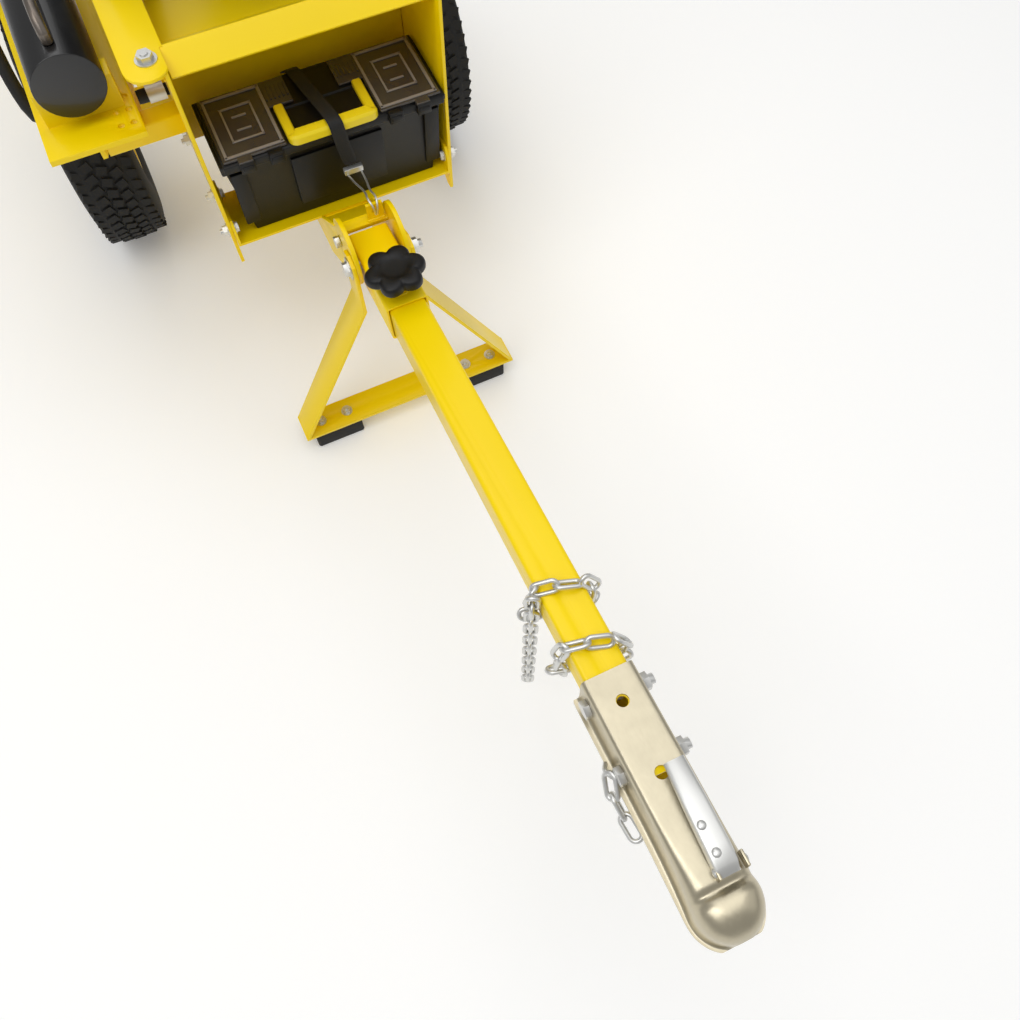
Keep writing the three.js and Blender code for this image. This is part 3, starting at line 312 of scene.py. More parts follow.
def add_block(bm, x0, x1, y0, y1, z0, z1, where=at):
    """Adds a closed block between two corners, in millimetres."""
    foot = ((x0, y0), (x1, y0), (x1, y1), (x0, y1))
    close_block(bm, [where(x, y, z) for z in (z0, z1) for x, y in foot])


def loft(bm, rings, closed=True, capped=True):
    """Joins rings of places, one after another, with quads."""
    rows = [[bm.verts.new(p) for p in ring] for ring in rings]
    count = len(rows[0])
    for low, high in zip(rows, rows[1:]):
        for i in range(count if closed else count - 1):
            j = (i + 1) % count
            bm.faces.new((low[i], low[j], high[j], high[i]))
    if capped:
        bm.faces.new(rows[0][::-1])
        bm.faces.new(rows[-1])


def tube_mesh(name, points, radius, sides=12, smooth=True):
    """A round tube along a smooth curve through places in metres."""
    curve = bpy.data.curves.new(name, "CURVE")
    curve.dimensions = "3D"
    curve.bevel_depth = radius * MM
    curve.bevel_resolution = sides // 4
    curve.use_fill_caps = True
    curve.resolution_u = 6
    spline = curve.splines.new("BEZIER" if smooth else "POLY")
    if smooth:
        spline.bezier_points.add(len(points) - 1)
        for knot, point in zip(spline.bezier_points, points):
            knot.co = point
            knot.handle_left_type = knot.handle_right_type = "AUTO"
    else:
        spline.points.add(len(points) - 1)
        for knot, point in zip(spline.points, points):
            knot.co = (*point, 1)
    return settle(linked(name, curve), name)


# ---------------------------------------------------------------- geometry nodes
def growing_tree(name, inputs):
    """A new tree with a shape in, a shape out and named inputs; returns the tree, its inputs and a finisher."""
    tree = bpy.data.node_groups.new(name, "GeometryNodeTree")
    tree.interface.new_socket("Geometry", in_out="INPUT", socket_type="NodeSocketGeometry")
    for label, (kind, value) in inputs.items():
        socket = tree.interface.new_socket(label, in_out="INPUT", socket_type="NodeSocket" + kind)
        if value is not None:
            socket.default_value = value
    tree.interface.new_socket("Finish", in_out="INPUT", socket_type="NodeSocketMaterial")
    tree.interface.new_socket("Geometry", in_out="OUTPUT", socket_type="NodeSocketGeometry")
    given = add_node(tree, "NodeGroupInput").outputs

    def end_with(geometry):
        whole = add_node(tree, "GeometryNodeRealizeInstances", {0: geometry})
        coated = add_node(tree, "GeometryNodeSetMaterial", {0: whole.outputs[0], "Material": given["Finish"]})
        add_node(tree, "NodeGroupOutput", {0: coated.outputs[0]})

    return tree, given, end_with


def grown(name, tree, base, values, finish):
    """Runs a tree on a base shape and returns the plain mesh that it grows."""
    obj = linked(name + "_base", base)
    modifier = obj.modifiers.new("grow", "NODES")
    modifier.node_group = tree
    values = {**values, "Finish": finishes()[finish]}
    for item in tree.interface.items_tree:
        if item.in_out == "INPUT" and item.name in values:
            modifier[item.identifier] = values[item.name]
    return settle(obj, name)


def maths(tree, operation, *values):
    """The result of a maths node on constants or other sockets."""
    return add_node(tree, "ShaderNodeMath", dict(enumerate(values)), operation=operation).outputs[0]


def vector(tree, **parts):
    return add_node(tree, "ShaderNodeCombineXYZ", parts).outputs[0]


def copies(tree, points, shape, **more):
    """A shape repeated on points."""
    inputs = {"Points": points, "Instance": shape, **more}
    return add_node(tree, "GeometryNodeInstanceOnPoints", inputs).outputs[0]


def bolt_tree():
    """Bolts with a washer, a hexagon and a thread end, standing on points along their facing."""
    tree, given, end_with = growing_tree("bolts", {
        "Across": ("Float", 13 * MM), "Height": ("Float", 6 * MM), "Thread": ("Float", 5 * MM)})
    # The radius to the hexagon's corners, of the washer and of the thread, as shares of the width across flats.
    corner, rim, thread = (maths(tree, "MULTIPLY", given["Across"], share) for share in (0.577, 0.78, 0.29))

    def disc(sides, radius, depth, lift):
        made = add_node(tree, "GeometryNodeMeshCylinder", {"Vertices": sides, "Radius": radius, "Depth": depth})
        inputs = {0: made.outputs[0], "Translation": vector(tree, Z=lift)}
        return add_node(tree, "GeometryNodeTransform", inputs).outputs[0]

    middle = maths(tree, "MULTIPLY_ADD", given["Height"], 0.5, 1.5 * MM)
    end = maths(tree, "ADD", given["Height"], 1.4 * MM)
    bolt = add_node(tree, "GeometryNodeJoinGeometry")
    for part in (disc(24, rim, 1.6 * MM, 0.8 * MM), disc(6, corner, given["Height"], middle),
                 disc(16, thread, given["Thread"], end)):
        tree.links.new(part, bolt.inputs[0])
    facing = add_node(tree, "GeometryNodeInputNamedAttribute", {"Name": "facing"}, data_type="FLOAT_VECTOR")
    turn = add_node(tree, "FunctionNodeAlignRotationToVector", {"Vector": facing.outputs[0]}, axis="Z")
    end_with(copies(tree, given["Geometry"], bolt.outputs[0], Rotation=turn.outputs[0]))
    return tree


def chain_tree():
    """Stadium-shaped links set along a curve, each a quarter turn from the one before."""
    tree, given, end_with = growing_tree("chain", {"Wire": ("Float", 5 * MM), "Pitch": ("Float", 24 * MM)})
    # A link's width, its corners' radius and its wire's radius, as shares of the wire's thickness.
    width, corner, thick = (maths(tree, "MULTIPLY", given["Wire"], share) for share in (2.4, 1.19, 0.5))
    height = maths(tree, "ADD", given["Wire"], given["Pitch"])
    box = add_node(tree, "GeometryNodeCurvePrimitiveQuadrilateral", {"Width": width, "Height": height})
    oval = add_node(tree, "GeometryNodeFilletCurve", {"Curve": box.outputs[0], "Radius": corner, "Count": 5},
                    mode="POLY")
    wire = add_node(tree, "GeometryNodeCurvePrimitiveCircle", {"Resolution": 8, "Radius": thick})
    link = add_node(tree, "GeometryNodeCurveToMesh", {"Curve": oval.outputs[0], "Profile Curve": wire.outputs[0]})
    spots = add_node(tree, "GeometryNodeCurveToPoints", {"Curve": given["Geometry"], "Length": given["Pitch"]},
                     mode="LENGTH")
    odd = maths(tree, "MODULO", add_node(tree, "GeometryNodeInputIndex").outputs[0], 2.0)
    roll = maths(tree, "MULTIPLY_ADD", odd, math.pi / 2, 0.5)
    lay = add_node(tree, "GeometryNodeTransform", {0: link.outputs[0], "Rotation": (math.pi / 2, 0, 0)})
    axis = add_node(tree, "FunctionNodeAlignRotationToVector", {"Vector": spots.outputs["Tangent"]}, axis="Z")
    placed = copies(tree, spots.outputs["Points"], lay.outputs[0], Rotation=axis.outputs[0])
    turned = add_node(tree, "GeometryNodeRotateInstances", {"Instances": placed, "Rotation": vector(tree, Z=roll)})
    end_with(turned.outputs[0])
    return tree


def tread_tree():
    """Rows of tread blocks round a wheel on the X axis, each row half a block further round."""
    tree, given, end_with = growing_tree("tread", {
        "Blocks": ("Int", 44), "Radius": ("Float", 0.2), "Row Width": ("Float", 0.02), "Depth": ("Float", 0.007)})
    crown, slant = 0.0013, 0.35
    join = add_node(tree, "GeometryNodeJoinGeometry")
    spin = maths(tree, "DIVIDE", math.pi, given["Blocks"])
    size = maths(tree, "MULTIPLY", given["Radius"], spin)
    across = maths(tree, "MULTIPLY", given["Row Width"], 0.8)
    for row in range(-2, 3):
        radius = maths(tree, "ADD", given["Radius"], -crown * row * row)
        ring = add_node(tree, "GeometryNodeMeshCircle", {"Vertices": given["Blocks"], "Radius": radius})
        extent = vector(tree, X=maths(tree, "MULTIPLY", size, 1.35), Y=given["Depth"], Z=across)
        block = add_node(tree, "GeometryNodeMeshCube", {"Size": extent})
        out = add_node(tree, "GeometryNodeInputPosition").outputs[0]
        turn = add_node(tree, "FunctionNodeAlignRotationToVector", {"Vector": out}, axis="Y")
        placed = copies(tree, ring.outputs[0], block.outputs[0], Rotation=turn.outputs[0])
        skew = add_node(tree, "GeometryNodeRotateInstances", {
            "Instances": placed, "Rotation": (0, slant if row % 2 else -slant, 0)})
        moved = add_node(tree, "GeometryNodeTransform", {
            0: skew.outputs[0],
            "Translation": vector(tree, Z=maths(tree, "MULTIPLY", given["Row Width"], float(row))),
            "Rotation": vector(tree, Z=spin) if row % 2 else (0, 0, 0)})
        tree.links.new(moved.outputs[0], join.inputs[0])
    stood = add_node(tree, "GeometryNodeTransform", {0: join.outputs[0], "Rotation": (0, math.pi / 2, 0)})
    end_with(stood.outputs[0])
    return tree


def rib_tree():
    """A row of equal raised ribs, set a step apart from a first place."""
    tree, given, end_with = growing_tree("ribs", {
        "Count": ("Int", 5), "Start": ("Vector", None), "Step": ("Vector", None), "Size": ("Vector", None)})
    row = add_node(tree, "GeometryNodeMeshLine", {
        "Count": given["Count"], "Start Location": given["Start"], "Offset": given["Step"]})
    rib = add_node(tree, "GeometryNodeMeshCube", {"Size": given["Size"]})
    end_with(copies(tree, row.outputs[0], rib.outputs[0]))
    return tree


def weld_tree():
    """Overlapping ripples of weld metal along a curve."""
    tree, given, end_with = growing_tree("weld_bead", {"Width": ("Float", 6 * MM)})
    step, size = (maths(tree, "MULTIPLY", given["Width"], share) for share in (0.34, 0.5))
    spots = add_node(tree, "GeometryNodeCurveToPoints", {"Curve": given["Geometry"], "Length": step}, mode="LENGTH")
    drop = add_node(tree, "GeometryNodeMeshIcoSphere", {"Radius": size, "Subdivisions": 2})
    vary = add_node(tree, "FunctionNodeRandomValue", {"Min": (0.85,) * 3, "Max": (1.1,) * 3, "Seed": 7},
                    data_type="FLOAT_VECTOR")
    end_with(copies(tree, spots.outputs["Points"], drop.outputs[0], Scale=vary.outputs[0]))
    return tree


def curve_of(name, lines):
    """Curve data with one poly spline for each line of places."""
    curve = bpy.data.curves.new(name, "CURVE")
    curve.dimensions = "3D"
    for points in lines:
        spline = curve.splines.new("POLY")
        spline.points.add(len(points) - 1)
        for knot, point in zip(spline.points, points):
            knot.co = (*point, 1)
    return curve


def set_of_bolts(name, body, spots, across=13, height=6, thread=5, finish="zinc"):
    """Bolts at places, each facing its own way."""
    base = bpy.data.meshes.new(name + "_points")
    base.from_pydata([place for place, _ in spots], [], [])
    facing = base.attributes.new("facing", "FLOAT_VECTOR", "POINT")
    facing.data.foreach_set("vector", [c for _, way in spots for c in way])
    values = {"Across": across * MM, "Height": height * MM, "Thread": thread * MM}
    mesh = grown(name, bpy.data.node_groups.get("bolts") or bolt_tree(), base, values, finish)
    return piece(name, mesh, finish, body)


def set_of_ribs(name, body, finish, count, start, step, size):
    values = {"Count": count, "Start": start, "Step": Vector(step) * MM, "Size": Vector(size) * MM}
    mesh = grown(name, bpy.data.node_groups.get("ribs") or rib_tree(), bpy.data.meshes.new(name), values, finish)
    return piece(name, mesh, finish, body)


UP, LEFT, RIGHT = (0, 0, 1), (-1, 0, 0), (1, 0, 0)


# ---------------------------------------------------------------- operators
class PieceOperator:
    """What every operator here shares."""
    bl_options = {"REGISTER", "UNDO"}

    def execute(self, context):
        self.make(context.scene.splitter_sizes)
        return {"FINISHED"}


class SPLITTER_OT_stage(PieceOperator, bpy.types.Operator):
    """Sets the floor, the soft lights and the camera."""
    bl_idname = "splitter.stage"
    bl_label = "Stage"

    CAMERA = (-180.7, -164.7, 1357.2)
    FORWARD = (0.169, 0.3693, -0.9138)
    ACROSS = (0.9065, -0.4223, -0.003)
    LENS = 31.93
    SENSOR = 36.0

    def make(self, sizes):
        scene = bpy.context.scene
        mesh = bpy.data.meshes.new("floor")
        reach = 30.0
        mesh.from_pydata([(-reach, -reach, 0), (reach, -reach, 0), (reach, reach, 0), (-reach, reach, 0)], [],
                         [(0, 1, 2, 3)])
        floor = linked("floor", mesh)
        tone = scene.splitter_colours.floor
        mesh.materials.append(surface("studio_floor", tone, 0.9, 0.0, 900, 0.004, 0.02, 4.0, 0.01,
                                      Emission_Color=(1, 1, 1, 1), Emission_Strength=0.14))

        forward = Vector(self.FORWARD).normalized()
        across = Vector(self.ACROSS)
        across = (across - forward * across.dot(forward)).normalized()
        up = across.cross(forward)
        turn = Matrix((across, up, -forward)).transposed().to_4x4()
        data = bpy.data.cameras.new("camera")
        data.lens = self.LENS
        data.sensor_width = self.SENSOR
        data.clip_start = 0.01
        data.clip_end = 200
        camera = linked("camera", data)
        camera.matrix_world = Matrix.Translation(at(*self.CAMERA)) @ turn
        scene.camera = camera

        middle = at(0, 500, 300)
        for name, place, size, power in (
                ("key", (-1.9, -0.9, 3.4), 2.4, 42), ("fill", (2.6, -1.6, 2.6), 3.2, 12),
                ("back", (0.4, 3.4, 3.2), 3.0, 26), ("top", (0.2, 0.2, 4.6), 4.5, 88)):
            light = bpy.data.lights.new(name, "AREA")
            light.size = size
            light.energy = power
            lamp = linked(name, light)
            lamp.location = middle + Vector(place)
            lamp.rotation_euler = (-Vector(place)).to_track_quat("-Z", "Y").to_euler()
        scene.view_settings.view_transform = "Standard"
        world = bpy.data.worlds.new("studio")
        world.use_nodes = True
        world.node_tree.nodes["Background"].inputs["Color"].default_value = (1, 1, 1, 1)
        world.node_tree.nodes["Background"].inputs["Strength"].default_value = 0.36
        scene.world = world


class SPLITTER_OT_painted_steel(PieceOperator, bpy.types.Operator):
    """Rounds and paints the yellow sheet, tube and plate."""
    bl_idname = "splitter.painted_steel"
    bl_label = "Painted steel"

    NODES = ("tow_tube", "tongue_sleeve", "yoke", "stand_frame", "side_plate_left", "side_plate_right",
             "tool_tray", "deck", "hydraulic_tank", "axle", "cross_tube_front", "cross_tube_rear",
             "beam_pillar", "log_cradle_left", "log_cradle_right", "beam")

    def make(self, sizes):
        for node in self.NODES:
            softened(node, "paint", sizes.sheet_edge)
        self.weld_seams()

    def weld_seams(self):
        """The beads that join the yoke, the sleeve's nut, the stand's bar and the plates' lugs."""
        seams = []
        for side in (-1, 1):
            edge = 38.5 * side
            seams.append([at(edge, 800, 316.5), at(edge, 716, 386.5)])
            seams.append([at(edge, 946, 316.5), at(edge, 905, 316.5)])
            seams.append([at(edge, 949, 260), at(edge, 949, 310)])
            seams.append([at(172.5 * side, 800, 606), at(172.5 * side, 842, 606)])
        seams.append([at(7, 701.5, 386.5), at(29, 701.5, 386.5)])
        self.bead("weld_seams_frame", "frame", seams)
        feet = [[at(183 * side, 624, 42.5), at(183 * side, 670, 42.5)] for side in (-1, 1)]
        self.bead("weld_seams_stand", "stand", feet)
        ring = [on_tongue(14.5 * math.cos(a), KNOB_ALONG + 14.5 * math.sin(a), 13.5)
                for a in (math.tau * i / 24 for i in range(25))]
        self.bead("weld_seam_sleeve", "fold_sleeve", [ring])

    @staticmethod
    def bead(name, body, lines):
        tree = bpy.data.node_groups.get("weld_bead") or weld_tree()
        piece(name, grown(name, tree, curve_of(name, lines), {"Width": 5 * MM}, "paint"), "paint", body)


class SPLITTER_OT_stand_feet(PieceOperator, bpy.types.Operator):
    """Moulds the stand's rubber feet."""
    bl_idname = "splitter.stand_feet"
    bl_label = "Stand feet"

    def make(self, sizes):
        for node in ("stand_foot_left", "stand_foot_right"):
            softened(node, "rubber", 3 * MM)
            low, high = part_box(node)
            for face, y in (("front", low.y + 0.0006), ("rear", high.y - 0.0006)):
                middle = Vector((low.x + 0.008, y, (low.z + high.z) / 2))
                width = (high.x - low.x) / MM
                set_of_ribs(f"{node}_{face}_ribs", "stand", "rubber", int(width // 8) - 1, middle,
                            (8, 0, 0), (3, 1.1, 24))


class SPLITTER_OT_coupler(PieceOperator, bpy.types.Operator):
    """Presses the ball coupler from sheet, with its round socket, its flange and its swage lines."""
    bl_idname = "splitter.coupler"
    bl_label = "Ball coupler"

    TOP = 12.5
    LOW = -37.0
    SOCKET = -238.0
    RADIUS = 34.5

    def make(self, sizes):
        bm = bmesh.new()
        stations = [0, -14, -60, -110, -150, -180, -202, -214, -219, -222.5, -225.5, -228.5, -232, -238,
                    -245, -251, -257, -262, -266, -269, -271.5]
        rings = [[on_tongue(x, COUPLER_BACK + s, z) for x, z in self.section(s)] for s in stations]
        loft(bm, rings, closed=False, capped=False)
        shell = from_bmesh("coupler_shell", bm, subdivided(1),
                           ("SOLIDIFY", {"thickness": 3 * MM, "offset": -1}))
        bm = bmesh.new()
        bm.from_mesh(shell)
        bmesh.ops.recalc_face_normals(bm, faces=bm.faces)
        bm.to_mesh(shell)
        bm.free()
        obj = linked("coupler_shape", shell)
        cutters = [self.round_cutter(0, -34, 7), self.round_cutter(0, -112, 7), self.slot_cutter()]
        for cutter in cutters:
            hole = obj.modifiers.new("hole", "BOOLEAN")
            hole.operation = "DIFFERENCE"
            hole.solver = "EXACT"
            hole.object = cutter
        mesh = settle(obj, "coupler_pressing")
        for cutter in cutters:
            bpy.data.objects.remove(cutter)
        piece("coupler_pressing", mesh, "passivated", "tow_bar", ["coupler"], 40)
        self.lugs()

    def section(self, s):
        """The pressing's outline at s along it, from flange edge to top and mirrored down again."""
        front = max(0.0, min(1.0, (-s - 150) / 88))
        reach = -s + self.SOCKET
        if s >= self.SOCKET:
            wall = 29.8 + 4.7 * front ** 2
            top = self.TOP + 4.0 * front ** 3 - 5.5 * math.exp(-((s + 225) / 4.5) ** 2)
            edge = 38 + 1.5 * front
        else:
            wall = math.sqrt(max(self.RADIUS ** 2 - reach ** 2, 20.0))
            top = -18 + wall
            edge = math.sqrt(max(39.5 ** 2 - reach ** 2, 36.0))
        corner = 6 + 16 * front ** 1.5
        if s < self.SOCKET:
            corner = wall * 0.72
        edge, low = max(edge, wall + 5), self.LOW + 3
        half = [(edge, low), (edge - 2, low), (wall + 2.5, low), (wall, low + 2.5),
                (wall, max(top - corner - 8, low + 3))]
        centre_x, centre_z = max(wall - corner, 0), top - corner
        for i in range(5):
            a = math.radians(90 * i / 4)
            half.append((centre_x + corner * math.cos(a), max(centre_z + corner * math.sin(a), low + 3.2)))
        half.append((max(centre_x * 0.5, 0.5), top + 0.01))
        return half + [(-x, z) for x, z in reversed(half)]

    @staticmethod
    def round_cutter(x, s, radius):
        bm = bmesh.new()
        rings = [[on_tongue(x + radius * math.cos(a), COUPLER_BACK + s + radius * math.sin(a), z)
                  for a in (math.tau * i / 24 for i in range(24))] for z in (2, 20)]
        loft(bm, rings)
        return linked("cutter", from_bmesh("cutter", bm))

    @staticmethod
    def slot_cutter():
        bm = bmesh.new()
        add_block(bm, LATCH_MIDDLE - 8, LATCH_MIDDLE + 8, LATCH_PIN - 2, LATCH_PIN + 38, 2, 24, on_tongue)
        return linked("cutter", from_bmesh("cutter", bm))

    @staticmethod
    def lugs():
        bm = bmesh.new()
        for x in (LATCH_MIDDLE - 16.1, LATCH_MIDDLE + 13.1):
            add_block(bm, x, x + 3, LATCH_PIN - 8, LATCH_PIN + 8, 11, 27, on_tongue)
        moulded("latch_lugs", bm, "passivated", "tow_bar", bevelled(1.2 * MM))


class SPLITTER_OT_latch(PieceOperator, bpy.types.Operator):
    """Folds the latch lever from sheet and rivets it."""
    bl_idname = "splitter.latch"
    bl_label = "Coupler latch"

    def make(self, sizes):
        middle, pin = LATCH_MIDDLE, LATCH_PIN
        stations = [(103, 11, 17, 13), (60, 12.2, 19, 8), (20, 12.4, 19.5, 4), (2, 12.4, 17, 1.6),
                    (-7, 11, 11, 5.8)]
        bm = bmesh.new()
        rings = []
        for s, half, high, low in stations:
            base, top = 13.3 + low, 13.3 + high
            across = [(-half, base), (-half, top - 3.5), (-half + 1.2, top - 1), (-half + 4, top),
                      (half - 4, top), (half - 1.2, top - 1), (half, top - 3.5), (half, base)]
            skew = -4 * (1 - s / 103)
            rings.append([on_tongue(middle + skew + x, pin + s, z) for x, z in across])
        loft(bm, rings, closed=False, capped=False)
        moulded("latch_lever", bm, "zinc", "latch", ("SOLIDIFY", {"thickness": 2.4 * MM, "offset": -1}),
                bevelled(0.6 * MM), replaced=["coupler_latch"], smooth_angle=40)
        shank = bmesh.new()
        add_block(shank, 6.5, 19.5, pin + 6, pin + 22, -22, 19, on_tongue)
        add_block(shank, -8, 19.5, pin + 2, pin + 22, -30, -18, on_tongue)
        moulded("latch_clamp", shank, "zinc", "latch", bevelled(1.5 * MM))
        spots = []
        for side in (-1, 1):
            way = TONGUE_FRAME.to_3x3() @ Vector((side, 0, 0))
            spots.append((on_tongue(middle + side * 16.2, pin, 20.5), way))
        up = TONGUE_FRAME.to_3x3() @ Vector(UP)
        spots += [(on_tongue(middle - 8, pin + s, 32.6), up) for s in (14, 40)]
        rivets = bmesh.new()
        for place, way in spots:
            turn = Matrix.Translation(place) @ Vector(way).to_track_quat("Z", "Y").to_matrix().to_4x4()
            bmesh.ops.create_uvsphere(rivets, u_segments=16, v_segments=8, radius=1.0,
                                      matrix=turn @ Matrix.Diagonal((4.6 * MM, 4.6 * MM, 2.2 * MM, 1)))
        moulded("latch_rivets", rivets, "zinc", "latch")


class SPLITTER_OT_chain(PieceOperator, bpy.types.Operator):
    """Winds the safety chain round the tow tube, lets its end hang, and lays a loose length beside the coupler."""
    bl_idname = "splitter.chain"
    bl_label = "Safety chain"

    def make(self, sizes):
        lines = [self.turn_of(104), self.turn_of(32)]
        tail = on_tongue(-35, COUPLER_BACK + 102, 8)
        lines.append([tail + Vector((0, 0, -12)) * MM * i for i in range(29)])
        loose = [(-35.5, -80, -34), (-40, -86, -24), (-43, -94, -27), (-45, -102, -36), (-44, -112, -45),
                 (-42, -124, -52), (-40.5, -136, -56)]
        lines.append([on_tongue(x, COUPLER_BACK + s, z) for x, s, z in loose])
        values = {"Wire": sizes.chain_wire, "Pitch": sizes.chain_pitch}
        mesh = grown("chain_links", bpy.data.node_groups.get("chain") or chain_tree(),
                     curve_of("chain_path", lines), values, "zinc")
        piece("chain_links", mesh, "zinc", "tow_bar", ["safety_chain"], 60)

    @staticmethod
    def turn_of(s):
        """One turn round the square tube, a little slack at its corners and leaning along the tube."""
        half, top, low = 31.5, 15.5, -48.0
        corners = [(-half, low), (-half, top - 5), (-half + 5, top), (half - 5, top), (half, top - 5),
                   (half, low), (-half, low)]
        return [on_tongue(x, COUPLER_BACK + s - 0.3 * x, z) for x, z in corners]


class SPLITTER_OT_knob(PieceOperator, bpy.types.Operator):
    """Moulds the clamp knob with its lobes, its dished top and its hub."""
    bl_idname = "splitter.knob"
    bl_label = "Clamp knob"

    def make(self, sizes):
        lobes, around = sizes.knob_lobes, 96
        low = 26.0
        profile = [(0.35, 0), (0.43, 0.5), (0.45, 6), (0.62, 8), (0.93, 8.5), (1.0, 11), (1.0, 19),
                   (0.96, 22.5), (0.88, 24.4), (0.7, 25.2), (0.5, 24.4), (0.42, 22.8), (0.3, 22.2), (0.1, 22.0)]
        bm = bmesh.new()
        rings = []
        for share, height in profile:
            ring = []
            for i in range(around):
                a = math.tau * i / around
                wave = 0.5 + 0.5 * math.cos(lobes * a)
                depth = 10 * max(0.0, min(1.0, (share - 0.45) / 0.4))
                radius = 41.5 * share - depth * (1 - wave ** 0.45)
                ring.append(on_tongue(radius * math.cos(a), KNOB_ALONG + radius * math.sin(a), low + height))
            rings.append(ring)
        loft(bm, rings)
        moulded("knob_moulding", bm, "plastic", "knob", subdivided(1), replaced=["clamp_knob"], smooth_angle=60)
        screw = tube_mesh("knob_screw", [on_tongue(0, KNOB_ALONG, z) for z in (9.3, 28)], 6, smooth=False)
        piece("knob_screw", screw, "zinc", "knob")


class SPLITTER_OT_wheels(PieceOperator, bpy.types.Operator):
    """Builds the tyres with their block tread, and the pressed rims."""
    bl_idname = "splitter.wheels"
    bl_label = "Wheels"

    def make(self, sizes):
        for side, x in WHEEL_MIDDLES.items():
            body = "wheel_" + side
            middle = at(x, *AXLE_LINE)
            carcass = bmesh.new()
            depth = sizes.tread_depth / MM
            outline = [(104, 38), (104, 44), (113, 45.5), (122, 54), (136, 56), (150, 56.5), (168, 55),
                       (186, 51), (195 - depth / 2, 46), (202 - depth, 34), (203 - depth, 0)]
            outline += [(r, -w) for r, w in reversed(outline[:-1])]
            inner = [(116, -38), (150, -46), (190, -32), (190, 32), (150, 46), (116, 38)]
            sweep = outline + inner
            segments = 96
            rings = []
            for i in range(segments):
                a = math.tau * i / segments
                rings.append([middle + Vector((w, r * math.cos(a), r * math.sin(a))) * MM for r, w in sweep])
            loft(carcass, rings + [rings[0]], capped=False)
            moulded("tyre_carcass_" + side, carcass, "tyre", body, replaced=["tyre_" + side], smooth_angle=50)
            values = {"Blocks": sizes.tread_blocks, "Radius": (203 - depth / 2 - 0.4) * MM,
                      "Row Width": 20 * MM, "Depth": sizes.tread_depth}
            tree = bpy.data.node_groups.get("tread") or tread_tree()
            tread = grown("tyre_tread_" + side, tree, bpy.data.meshes.new("tread"), values, "tyre")
            tread.transform(Matrix.Translation(middle))
            piece("tyre_tread_" + side, tread, "tyre", body)
            softened("wheel_rim_" + side, "paint", 0.8 * MM, 40)
            way = RIGHT if x > 0 else LEFT
            hub = x + (45 if x > 0 else -45)
            set_of_bolts("hub_nut_" + side, "frame", [(at(hub, *AXLE_LINE), way)], 30, 12, 10)


